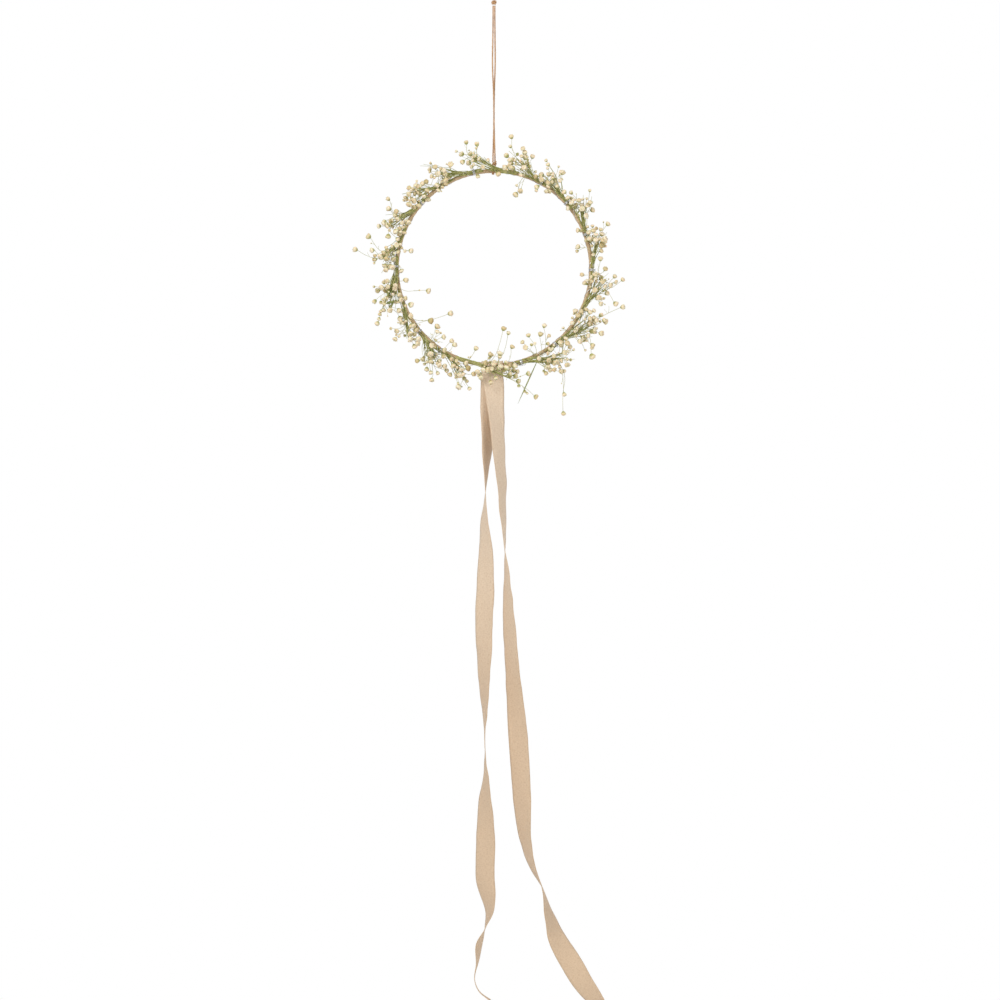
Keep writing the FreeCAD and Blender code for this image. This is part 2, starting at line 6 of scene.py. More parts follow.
import bmesh
import bpy
from bpy.props import FloatProperty, IntProperty, PointerProperty
from mathutils import Matrix, Vector, noise
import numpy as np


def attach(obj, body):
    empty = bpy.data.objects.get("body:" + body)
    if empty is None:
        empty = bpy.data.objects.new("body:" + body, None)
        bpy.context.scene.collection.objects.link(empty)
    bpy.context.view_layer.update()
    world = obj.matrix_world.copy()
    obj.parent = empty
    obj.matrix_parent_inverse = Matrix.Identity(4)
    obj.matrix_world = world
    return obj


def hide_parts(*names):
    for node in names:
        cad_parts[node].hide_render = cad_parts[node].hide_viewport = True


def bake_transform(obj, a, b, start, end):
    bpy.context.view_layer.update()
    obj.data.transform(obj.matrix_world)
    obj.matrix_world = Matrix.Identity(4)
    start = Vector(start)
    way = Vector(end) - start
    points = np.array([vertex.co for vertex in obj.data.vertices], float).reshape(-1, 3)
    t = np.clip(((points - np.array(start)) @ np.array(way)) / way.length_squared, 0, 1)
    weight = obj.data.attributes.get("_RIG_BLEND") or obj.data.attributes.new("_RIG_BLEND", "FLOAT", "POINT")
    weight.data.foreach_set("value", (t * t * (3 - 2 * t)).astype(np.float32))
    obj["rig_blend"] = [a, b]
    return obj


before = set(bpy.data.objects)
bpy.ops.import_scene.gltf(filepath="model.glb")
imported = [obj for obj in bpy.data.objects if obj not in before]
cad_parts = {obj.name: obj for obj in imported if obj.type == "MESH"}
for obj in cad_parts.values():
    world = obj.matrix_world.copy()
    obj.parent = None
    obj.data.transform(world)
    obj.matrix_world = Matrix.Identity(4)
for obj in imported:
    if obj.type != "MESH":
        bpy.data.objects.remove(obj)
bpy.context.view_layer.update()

bl_info = {
    "name": "Dried flower wreath",
    "version": (1, 0, 0),
    "blender": (4, 5, 0),
    "location": "View3D > Sidebar > Wreath",
    "description": "Builds the visible pieces of a hanging dried flower wreath around its packed frame",
    "category": "Object",
}

MM = 0.001

# Routes in millimetres, as the frame's own: sideways, back and up from the hanging eye.
KNOT_Z = -24.0
KNOT_RADIUS, KNOT_HALF_HEIGHT, KNOT_TURNS = 3.0, 1.9, 2.7
LEG_TOP_Z = -27.3
LEG_END_Z = -188.6
HITCH_KNOT_Z = -190.65
TWINE_RADIUS = 0.75
HITCH_X = -0.9
WRAP_RADIUS = 3.15
EYE_HALF_WIDTH = 5.6
EYE_TOP_Z = 0.75
EYE_FOOT_Z = -20.6
EYE_HAIRS, KNOT_HAIRS = 40, 24
EYE_RISE = [(0.16, 0.0), (0.66, 0.24), (1.0, 0.48), (1.02, 0.78), (0.52, 1.0)]
LEFT_LEG = [
    (-0.85, 0.0, 0.0), (-0.95, -0.15, 0.18), (-1.8, -0.4, 0.38),
    (-0.15, -0.95, 0.565), (0.05, -0.98, 0.78), (0.9, -0.45, 0.93), (1.1, 0.0, 1.0),
]
RIGHT_LEG = [
    (0.85, 0.0, 0.0), (0.95, 0.15, 0.18), (1.45, 0.4, 0.38),
    (0.1, 0.95, 0.565), (-0.05, 0.98, 0.78), (-0.9, 0.45, 0.93), (-1.1, 0.0, 1.0),
]

# Hoop and ribbon sizes in millimetres.
HOOP_RADIUS = 100.0
HOOP_CENTRE_Z = -297.5
HOOP_BOTTOM_Z = -397.5
TAPE_RADIUS = 2.1
BINDING_RADIUS = 3.72
BINDING_WIRE_RADIUS = 0.24
STEM_SEAT = math.radians(44.0)
RIBBON_WIDTH = 22.0
RIBBON_OFFSET = -1.7
RIBBON_PIVOT_Z = -409.5
FOLD_RADIUS = 3.05
FOLD_LIFT = 0.8

# Ribbon tails: below the hoop's bottom, sideways, forward, and how far the width is turned, degrees.
RIGHT_TAIL = [
    (9, -1.7, 3, 0), (26, 0.2, 3.4, 24), (47, 1.9, 3.6, 42), (84, 4.9, 4, 54), (135, 8.7, 4.6, 68),
    (184, 10.8, 5, 86), (215, 12.9, 5, 103), (254, 14.9, 4.8, 121), (318, 19.3, 4.4, 131),
    (382, 24.9, 4.4, 152), (444, 28.6, 5, 147), (487, 32.2, 6, 122), (515, 39, 7.5, 107),
    (538, 50, 9, 90), (567, 57, 11, 64), (590, 65, 12.5, 38), (614, 79, 14, 8), (637, 93, 15.5, -22),
    (656, 107.5, 17, -48),
]
LEFT_TAIL = [
    (9, -1.7, -3, 0), (26, -2.6, -3.4, 24), (47, -3.9, -3.8, 42), (84, -6.2, -4.2, 64),
    (131, -8.8, -4.4, 90), (160, -9.8, -4.2, 109), (190, -8.6, -4, 128), (232, -9, -3.6, 145),
    (266, -10.2, -3.2, 144), (305, -10.2, -2.8, 130), (348, -9.8, -2.4, 108), (392, -9.2, -2, 90),
    (425, -8.4, -1.6, 105), (450, -9.2, -1.4, 126), (487, -8.4, -1, 150), (530, -9.2, -0.6, 149),
    (560, -4.6, 0, 116), (578, -8.4, 1, 92), (596, -14.8, 2, 74), (616, -17.6, 3, 84), (632, -20, 4, 90),
    (645, -15, 5, 90), (654, -3.6, 6, 90),
]

# Small heads that crowd over the ribbon's fold, on the bunch there, and their stalks' length: each head is
# sideways, forward, up and its radius, in millimetres.
FOLD_BUNCH = "10"
FOLD_HEADS = [
    (-8.8, 11.0, -395.6, 2.6), (0.7, 12.0, -395.4, 3.0), (12.4, 10.0, -395.0, 2.4),
    (-6.2, 13.0, -402.6, 3.1), (-2.0, 14.5, -401.8, 2.5), (9.9, 12.5, -403.6, 2.2),
    (-3.2, 9.5, -387.2, 2.4), (5.9, 10.5, -389.0, 2.3),
]
FOLD_STALK = 8.0
# No shoots where a stem comes this near the ribbon's middle and ends this little above the hoop's bottom,
# and no side buds on heads as near as the second pair says.
SHOOTLESS_SIDE, SHOOTLESS_RISE = 10.0, 16.0
BUDLESS_SIDE, BUDLESS_RISE = 16.0, 10.0

# The sprigs' growth, in millimetres: the spans that random sizes are drawn from, and radii from foot to tip.
STEM_RADIUS, STEM_TAPER, STEM_KNUCKLE = 0.48, 0.2, 0.12
SHOOT_SPREAD = (3.0, 15.0)
SHOOT_ONWARD = (3.0, 16.0)
SHOOT_HEAD_RADIUS = (1.5, 2.7)
SHOOT_RADIUS, SHOOT_TAPER = 0.34, 0.17
STALK_RADII = (0.32, 0.3, 0.25, 0.21, 0.18, 0.2)
BUD_REACH = (3.5, 9.0)
BUD_RADII = (0.17, 0.15, 0.13)
SMALLEST_FLOWER = 1.25
HEAD_SQUEEZE = ((0.88, 1.06), (0.88, 1.06), (0.85, 1.05))
LEAF_SHARE = 0.72
LEAF_THICKNESS = 0.25

# The binding wire, in millimetres: one slow turn between ties, how far a tie's lift fades out beside it, and
# how far the wire's middle stands off the tape, less under the ribbon's fold (degrees round the hoop).
SLOW_TURN = 26.0
TIE_FADE = 6.0
WIRE_LIE, WIRE_LIE_PRESSED = 0.3, 0.1
FOLD_DEGREES, FOLD_SPAN_DEGREES = 180.0, 7.0

# Loose ends, in millimetres: a jute fibre's radii and a linen thread's, from root to tip.
HAIR_RADII = (0.045, 0.035, 0.02)
FRINGE_RADII = (0.13, 0.11, 0.07)
FRINGE_THREADS = 34


# ---------------------------------------------------------------- places

def hoop_point(degrees, out=0.0, forward=0.0):
    """A point by the hoop, in metres: degrees from the top towards the left, out and forward in mm."""
    angle = math.radians(degrees)
    reach = HOOP_RADIUS + out
    return Vector((-math.sin(angle) * reach, -forward, HOOP_CENTRE_Z + math.cos(angle) * reach)) * MM


def degrees_at(point):
    """How far round the hoop a point is."""
    return math.degrees(math.atan2(-point.x, point.z - HOOP_CENTRE_Z * MM)) % 360.0


def islands(node):
    """The separate solids of a CAD node, each as a list of points, from a joined copy of its mesh."""
    mesh = bmesh.new()
    mesh.from_mesh(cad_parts[node].data)
    bmesh.ops.remove_doubles(mesh, verts=mesh.verts, dist=0.001 * MM)
    found = []
    seen = set()
    for start in mesh.verts:
        if start in seen:
            continue
        seen.add(start)
        queue = [start]
        for vert in queue:
            for edge in vert.link_edges:
                other = edge.other_vert(vert)
                if other not in seen:
                    seen.add(other)
                    queue.append(other)
        found.append([vert.co.copy() for vert in queue])
    mesh.free()
    return found


def average(points):
    """The middle of some points."""
    return sum(points, Vector()) / len(points)


def clamp(value):
    """A value kept between nought and one."""
    return max(0.0, min(1.0, value))


def gauss_vector(rng):
    """A random direction of about unit length."""
    return Vector((rng.gauss(0, 1), rng.gauss(0, 1), rng.gauss(0, 1))) * 0.6


def florets_of(node):
    """Each head of a node: the foot of its stalk, its centre and its radius."""
    found = []
    for points in islands(node):
        middle = average(points)
        reach = max((p - middle).length for p in points)
        foot = average([p for p in points if (p - middle).length > reach - 0.15 * MM])
        crown = max(points, key=lambda p: (p - foot).length)
        axis = (crown - foot).normalized()
        radius = max(((p - foot) - axis * (p - foot).dot(axis)).length for p in points)
        found.append((foot, crown - axis * radius, radius))
    return found


def stems_of(node):
    """Each stem of a node as the points along its middle, cut end first."""
    found = []
    for points in islands(node):
        origin = degrees_at(points[0])
        places = sorted(((degrees_at(p) - origin + 180.0) % 360.0, tuple(p)) for p in points)
        groups = [[places[0]]]
        for place in places[1:]:
            if place[0] - groups[-1][-1][0] > 0.25:
                groups.append([])
            groups[-1].append(place)
        found.append([average([Vector(p) for _, p in group]) for group in groups])
    return found


# ---------------------------------------------------------------- pieces

def keep(name, mesh, material):
    """A finished, smooth object from a bmesh, at the origin, in the named material."""
    data = bpy.data.meshes.new(name)
    mesh.to_mesh(data)
    mesh.free()
    data.materials.append(bpy.data.materials[material])
    for polygon in data.polygons:
        polygon.use_smooth = True
    piece = bpy.data.objects.new(name, data)
    bpy.context.scene.collection.objects.link(piece)
    return piece


def spline_mesh(runs, detail, sides=None):
    """A mesh of splines, as bare lines or as round tubes. Each run is its points, its radii, and whether the
    points only guide it."""
    curve = bpy.data.curves.new("splines", "CURVE")
    curve.dimensions = "3D"
    curve.resolution_u = detail
    if sides is not None:
        curve.bevel_depth = 1.0
        curve.bevel_resolution = sides
        curve.use_fill_caps = True
    for points, radii, guided in runs:
        spline = curve.splines.new("NURBS" if guided else "POLY")
        spline.points.add(len(points) - 1)
        for target, point, radius in zip(spline.points, points, radii):
            target.co = (*point, 1.0)
            target.radius = radius
        if guided:
            spline.order_u = 3
            spline.use_endpoint_u = True
    holder = bpy.data.objects.new("splines", curve)
    data = bpy.data.meshes.new_from_object(holder)
    bpy.data.objects.remove(holder)
    bpy.data.curves.remove(curve)
    return data


def tubes(runs, sides=2):
    """A bmesh of round tubes along runs."""
    data = spline_mesh(runs, 4, sides)
    mesh = bmesh.new()
    mesh.from_mesh(data)
    bmesh.ops.remove_doubles(mesh, verts=mesh.verts, dist=0.002 * MM)
    bpy.data.meshes.remove(data)
    return mesh


def route(points):
    """The smooth line of a route, read from its spline."""
    data = spline_mesh([(points, [1.0] * len(points), True)], 24)
    line = [vert.co.copy() for vert in data.vertices]
    bpy.data.meshes.remove(data)
    return line


def length_of(line):
    """The length of a line of points."""
    return sum((b - a).length for a, b in zip(line, line[1:]))


def walk(line, step):
    """Places along a line, a step apart: how far along, the point, and the way on."""
    places = []
    total = length_of(line)
    count = max(2, round(total / step))
    at = 0.0
    i = 0
    for k in range(count + 1):
        goal = total * k / count
        while i < len(line) - 2 and at + (line[i + 1] - line[i]).length < goal:
            at += (line[i + 1] - line[i]).length
            i += 1
        run = line[i + 1] - line[i]
        places.append((goal, line[i] + run.normalized() * (goal - at), run.normalized()))
    return places


def strand_runs(line, strands, radius, pitch):
    """The strands of a laid twine round a line, each as a run for tubes, at the twine's full radius."""
    places = walk(line, pitch / 9)
    side = places[0][2].orthogonal().normalized()
    frames = []
    for _, _, way in places:
        side = (side - way * side.dot(way)).normalized()
        frames.append((side, way.cross(side)))
    lay = radius * 0.46
    runs = []
    for strand in range(strands):
        points = []
        for (far, point, _), (first, second) in zip(places, frames):
            angle = math.tau * (far / pitch + strand / strands)
            points.append(point + first * (math.cos(angle) * lay) + second * (math.sin(angle) * lay))
        runs.append((points, [radius * 0.6] * len(points), False))
    return runs


def hair_runs(line, radius, count, length, rng):
    """Loose fibres that stand off a twine, each a thin bent run."""
    places = walk(line, 0.5 * MM)
    runs = []
    for _ in range(count):
        _, point, way = rng.choice(places)
        side = gauss_vector(rng)
        side = (side - way * side.dot(way)).normalized()
        reach = length * rng.uniform(0.4, 1.0)
        start = point + side * radius * 0.7
        middle = start + (side * 0.5 + way * rng.choice((-1, 1))).normalized() * reach * 0.5
        end = middle + (side + way * rng.uniform(-0.6, 0.6)).normalized() * reach * 0.5
        runs.append(([start, middle, end], [r * MM for r in HAIR_RADII], True))
    return runs


def twine(name, line, settings, rng, hairs):
    """A length of laid jute twine along a line, with its loose fibres."""
    radius = TWINE_RADIUS * MM
    mesh = tubes(strand_runs(line, settings.strands, radius, settings.pitch))
    join(mesh, tubes(hair_runs(line, radius, hairs, settings.hair, rng), 0))
    return keep(name, mesh, "jute_twine_laid")


def join(mesh, other):
    """Add one bmesh to another, and free it."""
    data = bpy.data.meshes.new("join")
    other.to_mesh(data)
    other.free()
    mesh.from_mesh(data)
    bpy.data.meshes.remove(data)


def settle(piece, node=None, body=None):
    """Hide the CAD node that a piece stands for, and attach the piece to the body it rides on."""
    if node:
        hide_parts(node)
    if body:
        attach(piece, body)


# ---------------------------------------------------------------- materials

def colour(code):
    """A linear colour from an sRGB hex code."""
    parts = [int(code[i:i + 2], 16) / 255 for i in (0, 2, 4)]
    return [c / 12.92 if c <= 0.04045 else ((c + 0.055) / 1.055) ** 2.4 for c in parts] + [1.0]


def add(tree, kind, settings=None, inputs=None):
    """Add a shader node with its settings, and set or link its inputs."""
    made = tree.nodes.new(kind)
    for key, value in (settings or {}).items():
        setattr(made, key, value)
    for key, value in (inputs or {}).items():
        if isinstance(value, bpy.types.NodeSocket):
            tree.links.new(value, made.inputs[key])
        else:
            made.inputs[key].default_value = value
    return made


def new_material(name, roughness, **fixed):
    """A new material, its node tree and its main shader."""
    material = bpy.data.materials.new(name)
    material.use_nodes = True
    tree = material.node_tree
    shader = tree.nodes["Principled BSDF"]
    shader.inputs["Roughness"].default_value = roughness
    for key, value in fixed.items():
        shader.inputs[key.replace("_", " ")].default_value = value
    return tree, shader


def ramp(tree, value, stops):
    """A colour ramp over a value: each stop is its place and its hex code."""
    made = add(tree, "ShaderNodeValToRGB", None, {"Fac": value})
    elements = made.color_ramp.elements
    while len(elements) < len(stops):
        elements.new(0.5)
    for element, (place, code) in zip(elements, stops):
        element.position = place
        element.color = colour(code)
    return made.outputs["Color"]


def grain(tree, vector, size, detail=3.0, stretch=(1.0, 1.0, 1.0)):
    """Noise whose features are about size metres across, drawn out by stretch."""
    mapped = add(tree, "ShaderNodeMapping", None, {"Vector": vector, "Scale": Vector(stretch)})
    made = add(tree, "ShaderNodeTexNoise", None,
               {"Vector": mapped.outputs["Vector"], "Scale": 1.0 / size, "Detail": detail})
    return made.outputs["Fac"]


def mixed(tree, share, first, second, way="MIX"):
    """Two colours mixed by a share."""
    made = add(tree, "ShaderNodeMix", {"data_type": "RGBA", "blend_type": way},
               {0: share, 6: first, 7: second})
    return made.outputs[2]


def maths(tree, operation, first, second=0.0):
    """One step of arithmetic on one or two values."""
    return add(tree, "ShaderNodeMath", {"operation": operation}, {0: first, 1: second}).outputs["Value"]


def cover(tree, shader, shade, height=None, depth=0.0):
    """Give a shader its colour, and raise the surface by a height, up to a depth in metres."""
    tree.links.new(shade, shader.inputs["Base Color"])
    if height:
        made = add(tree, "ShaderNodeBump", None, {"Height": height, "Distance": depth, "Strength": 1.0})
        tree.links.new(made.outputs["Normal"], shader.inputs["Normal"])


def attribute(tree, name):
    """A value that a piece carries on its points."""
    return add(tree, "ShaderNodeAttribute", {"attribute_name": name}).outputs["Fac"]


def object_place(tree):
    """Places in the object's own frame, in metres."""
    return add(tree, "ShaderNodeTexCoord").outputs["Object"]


def make_petal_material():
    """Dried gypsophila: air-dried petals gone ivory to straw, with a green calyx at the foot."""
    tree, shader = new_material("gypsophila_petal_air_dried", 0.78, Subsurface_Weight=0.12,
                                Subsurface_Scale=0.0008, Sheen_Weight=0.15)
    place = object_place(tree)
    petal = ramp(tree, attribute(tree, "tone"),
                 [(0.0, "F3E8CF"), (0.45, "EBDDBC"), (0.8, "DCCBA0"), (1.0, "C4B07C")])
    crumple = grain(tree, place, 0.0009, 4.0)
    creased = mixed(tree, crumple, colour("FFFFFF"), colour("D8C8A4"))
    petal = mixed(tree, 0.55, petal, mixed(tree, 1.0, petal, creased, "MULTIPLY"))
    calyx = ramp(tree, grain(tree, place, 0.0012), [(0.3, "8A8D44"), (0.7, "B0AC68")])
    shade = mixed(tree, attribute(tree, "calyx"), petal, calyx)
    cover(tree, shader, shade, crumple, 0.0003)


def make_stem_material():
    """Dried flower stalk: ribbed and matt, olive where thick and paler towards the heads."""
    tree, shader = new_material("gypsophila_stem_air_dried", 0.7)
    place = object_place(tree)
    # Painted shade in part: the mottle's darkest olive stands in for the shaded gaps between stems, laid at
    # random places; the rest is the stalks' own uneven colour.
    shade = ramp(tree, grain(tree, place, 0.0035, 4.0),
                 [(0.25, "596224"), (0.42, "858A40"), (0.6, "A9A95C"), (0.85, "C2B27A")])
    fine = mixed(tree, attribute(tree, "fine"), shade, colour("B9B583"))
    cover(tree, shader, fine, grain(tree, place, 0.0004, 2.0), 0.0001)


def make_leaf_material():
    """Dried leaf: papery, olive with straw patches and a paler midrib."""
    tree, shader = new_material("gypsophila_leaf_air_dried", 0.72, Subsurface_Weight=0.08,
                                Subsurface_Scale=0.0008)
    place = object_place(tree)
    shade = ramp(tree, grain(tree, place, 0.003, 4.0),
                 [(0.3, "5F6B33"), (0.55, "7B8546"), (0.8, "A39A5E")])
    veined = mixed(tree, attribute(tree, "rib"), shade, colour("A9AC74"))
    cover(tree, shader, veined, grain(tree, place, 0.0006, 3.0), 0.00012)


def make_tape_material():
    """Crepe paper tape, waxed and wound in overlapping turns, darker at each lap's edge."""
    tree, shader = new_material("crepe_paper_tape_wound", 0.62)
    place = object_place(tree)
    shade = ramp(tree, grain(tree, place, 0.008, 4.0),
                 [(0.3, "A98E6A"), (0.5, "BDA37E"), (0.75, "CFB796")])
    edged = mixed(tree, attribute(tree, "lap"), shade, colour("8A6544"))
    cover(tree, shader, edged, grain(tree, place, 0.0007, 5.0), 0.00025)


def make_wire_material(name, code, roughness):
    """Drawn metal wire: bright, with faint die lines and a little dulling."""
    tree, shader = new_material(name, roughness, Metallic=1.0)
    place = object_place(tree)
    shade = ramp(tree, grain(tree, place, 0.002, 3.0), [(0.3, code), (0.8, "9A9C9E")])
    cover(tree, shader, shade, grain(tree, place, 0.0005, 2.0), 0.00003)


def make_twine_material():
    """Jute twine: coarse golden-brown fibres laid in strands, with dark gaps and pale loose ends."""
    tree, shader = new_material("jute_twine_laid", 0.85, Sheen_Weight=0.2)
    place = object_place(tree)
    shade = ramp(tree, grain(tree, place, 0.0012, 5.0, (1.0, 1.0, 0.3)),
                 [(0.25, "8C6742"), (0.5, "B88D63"), (0.75, "D2AE86")])
    cover(tree, shader, shade, grain(tree, place, 0.0003, 3.0, (1.0, 1.0, 0.25)), 0.00015)


def make_linen_material():
    """Linen ribbon: plain weave bleached to a pale pinkish beige, with fine slubs and firm, darker selvedges;
    thin enough for light to come through warm. Painted light and shade run down its length: lighter just
    below the fold and darker towards the ends. A real thread is about 0.5 mm; the weave is drawn at 0.6 mm
    and the slubs at 0.9 mm so that they hold together at a distance."""
    tree, shader = new_material("linen_ribbon_plain_weave", 0.85, Sheen_Weight=0.2)
    uv = add(tree, "ShaderNodeUVMap", {"uv_map": "cloth"}).outputs["UV"]
    split = add(tree, "ShaderNodeSeparateXYZ", None, {"Vector": uv})
    across, down = split.outputs["X"], split.outputs["Y"]
    waves = [maths(tree, "SINE", maths(tree, "MULTIPLY", way, math.tau / 0.0006)) for way in (across, down)]
    weave = maths(tree, "MULTIPLY", *waves)
    weft = grain(tree, uv, 0.0009, 2.0, (0.35, 1.0, 1.0))
    warp = grain(tree, uv, 0.0009, 2.0, (1.0, 0.3, 1.0))
    slubs = maths(tree, "MULTIPLY", maths(tree, "ADD", weft, warp), 0.5)
    # Painted light and shade along the ribbon: the ramp over its length is lighter just below the fold, where
    # the heads shade it, and darker down the tails, where the light falls off; the noise shifts it a little
    # at random.
    far = add(tree, "ShaderNodeMapRange", None, {"Value": down, "From Max": 0.66}).outputs["Result"]
    painted_falloff = maths(tree, "ADD", far, maths(tree, "MULTIPLY", grain(tree, uv, 0.05, 2.0), 0.08))
    shade = ramp(tree, painted_falloff, [(0.06, "F8E5CD"), (0.3, "F0DDC5"), (0.54, "E2CBB0"), (0.9, "DCC5AA")])
    mottle = ramp(tree, slubs, [(0.32, "E2DACF"), (0.5, "F6F4F1"), (0.66, "FFFFFF")])
    shade = mixed(tree, 1.0, shade, mottle, "MULTIPLY")
    edge = maths(tree, "ABSOLUTE", maths(tree, "SUBTRACT", across, RIBBON_WIDTH * MM / 2))
    hem = add(tree, "ShaderNodeMapRange", None,
              {"Value": edge, "From Min": 0.0098, "From Max": 0.0106, "To Max": 0.3}).outputs["Result"]
    shade = mixed(tree, hem, shade, colour("B99A72"))
    relief = maths(tree, "ADD", weave, maths(tree, "MULTIPLY", slubs, 2.0))
    cover(tree, shader, shade, relief, 0.00006)
    through = add(tree, "ShaderNodeBsdfTranslucent", None, {"Color": colour("EBCDA2")})
    both = add(tree, "ShaderNodeMixShader", None,
               {0: 0.2, 1: shader.outputs["BSDF"], 2: through.outputs["BSDF"]})
    tree.links.new(both.outputs["Shader"], tree.nodes["Material Output"].inputs["Surface"])


# ---------------------------------------------------------------- the hoop

def make_tape(settings):
    """The taped hoop: a ring whose surface steps at each lap of the wound tape."""
    mesh = bmesh.new()
    middle = hoop_point(0.0)
    turn = Matrix.Translation(middle) @ Matrix.Rotation(math.radians(90), 4, "Y")
    made = bmesh.ops.create_circle(mesh, segments=14, radius=TAPE_RADIUS * MM, matrix=turn)
    ring = made["verts"] + list({edge for vert in made["verts"] for edge in vert.link_edges})
    laps = settings.laps
    bmesh.ops.spin(mesh, geom=ring, cent=hoop_point(0.0, -HOOP_RADIUS), axis=(0, 1, 0), angle=math.tau,
                   steps=laps * 7, use_merge=True, use_duplicate=False)
    bmesh.ops.remove_doubles(mesh, verts=mesh.verts, dist=0.01 * MM)
    lap = mesh.verts.layers.float.new("lap")
    for vert in mesh.verts:
        round_hoop = degrees_at(vert.co) / 360.0
        heart = hoop_point(round_hoop * 360.0)
        away = vert.co - heart
        flat = Vector((vert.co.x, 0, vert.co.z - HOOP_CENTRE_Z * MM)).length - HOOP_RADIUS * MM
        phase = (round_hoop * laps + math.atan2(vert.co.y, flat) / math.tau) % 1.0
        wobble = noise.noise(vert.co * 900.0) * 0.09
        vert.co = heart + away.normalized() * (TAPE_RADIUS + 0.12 - 0.24 * phase + wobble) * MM
        vert[lap] = max(0.0, 1.0 - phase * 5.0) * 0.8
    bmesh.ops.recalc_face_normals(mesh, faces=mesh.faces)
    return keep("ring_tape_wound", mesh, "crepe_paper_tape_wound")


def make_binding(settings):
    """The binding wire: close turns at each tie, and slow turns over the tape on the way to the next."""
    places = sorted({round(degrees_at(average(points))) for points in islands("binding_wire")})
    ties = [places[0]]
    for place in places[1:]:
        if place - ties[-1] > 5:
            ties.append(place)
    points = []
    turned = 0.0
    degrees = 0.0
    while degrees < 360.0:
        apart = min(abs((degrees - tie + 180.0) % 360.0 - 180.0) for tie in ties)
        gap = apart * math.radians(HOOP_RADIUS)
        near = clamp(1.5 - gap / settings.tie_width)
        held = clamp(1.6 - gap / TIE_FADE) * max(0.0, math.cos(turned - STEM_SEAT)) ** 0.5
        past_fold = max(0.0, abs(degrees - FOLD_DEGREES) - FOLD_SPAN_DEGREES)
        lie = min(WIRE_LIE, WIRE_LIE_PRESSED + past_fold * 0.1)
        reach = TAPE_RADIUS + lie + (BINDING_RADIUS + settings.tie_lift - TAPE_RADIUS - lie) * held
        points.append(hoop_point(degrees, math.sin(turned) * reach, math.cos(turned) * reach))
        step = 0.03 if near > 0.0 else 0.15
        pitch = near * settings.tie_turns / (settings.tie_width * 2) + (1.0 - near) / SLOW_TURN
        turned += math.tau * pitch * math.radians(step) * HOOP_RADIUS
        degrees += step
    mesh = tubes([(points, [BINDING_WIRE_RADIUS * MM] * len(points), False)], 1)
    return keep("binding_wire_wound", mesh, "binding_wire_tinned_drawn")


# ---------------------------------------------------------------- sprigs

def make_stem_runs(lines, settings, rng):
    """The stems of one bunch, tapered, with small knuckles where side shoots leave them, and the thinner
    shoots that run beside them and fan out."""
    runs = []
    heads = []
    for line in lines:
        total = length_of(line)
        knuckles = [rng.uniform(0.25, 0.95) for _ in range(3)]
        kept = []
        radii = []
        for far, point, _ in walk(line, 1.4 * MM):
            share = far / total
            bulge = max(max(0.0, 1.0 - abs(share - k) * 40) for k in knuckles)
            kept.append(point + noise.noise_vector(point * 120.0) * 0.25 * MM * share)
            radii.append((STEM_RADIUS - STEM_TAPER * share + STEM_KNUCKLE * bulge) * MM)
        runs.append((kept, radii, False))
        low = kept[-1].z < (HOOP_BOTTOM_Z + SHOOTLESS_RISE) * MM
        over_ribbon = low and min(abs(p.x) for p in kept) < SHOOTLESS_SIDE * MM
        for _ in range(0 if over_ribbon else settings.side_shoots):
            shoot = make_side_shoot(kept, rng)
            tip, before = shoot[0][-1], shoot[0][-2]
            runs.append(shoot)
            if rng.random() < settings.shoot_heads:
                heads.append((tip, (tip - before).normalized(), rng.uniform(*SHOOT_HEAD_RADIUS) * MM))
    return runs, heads


def make_side_shoot(kept, rng):
    """A thin shoot that runs beside a stem and leaves it towards the outside and the front."""
    middle = kept[len(kept) // 2]
    away = (middle - Vector((0, 0, HOOP_CENTRE_Z * MM))).normalized()
    lean = away * rng.uniform(-0.3, 1.0) + Vector((0, -1, 0)) * rng.uniform(0.1, 0.8)
    if abs(middle.x) < 30 * MM:
        lean = Vector((0, -1, 0)) * rng.uniform(0.3, 0.8) + away * rng.uniform(-0.1, 0.3)
    spread = rng.uniform(*SHOOT_SPREAD) * MM
    start = rng.randrange(12, 16)
    last = max(start + 4, round((len(kept) - 1) * rng.uniform(0.5, 1.0)))
    last = min(last, len(kept) - 1)
    onward = (kept[last] - kept[last - 2]).normalized() * rng.uniform(*SHOOT_ONWARD) * MM
    places = kept[start:last:3] + [kept[last], kept[last] + onward]
    points = []
    radii = []
    for i, place in enumerate(places):
        share = i / (len(places) - 1)
        stray = gauss_vector(rng) * share * 1.2 * MM
        points.append(place + lean * (0.7 * MM + spread * share**1.2) + stray)
        radii.append((SHOOT_RADIUS - SHOOT_TAPER * share) * MM)
    return points, radii, True


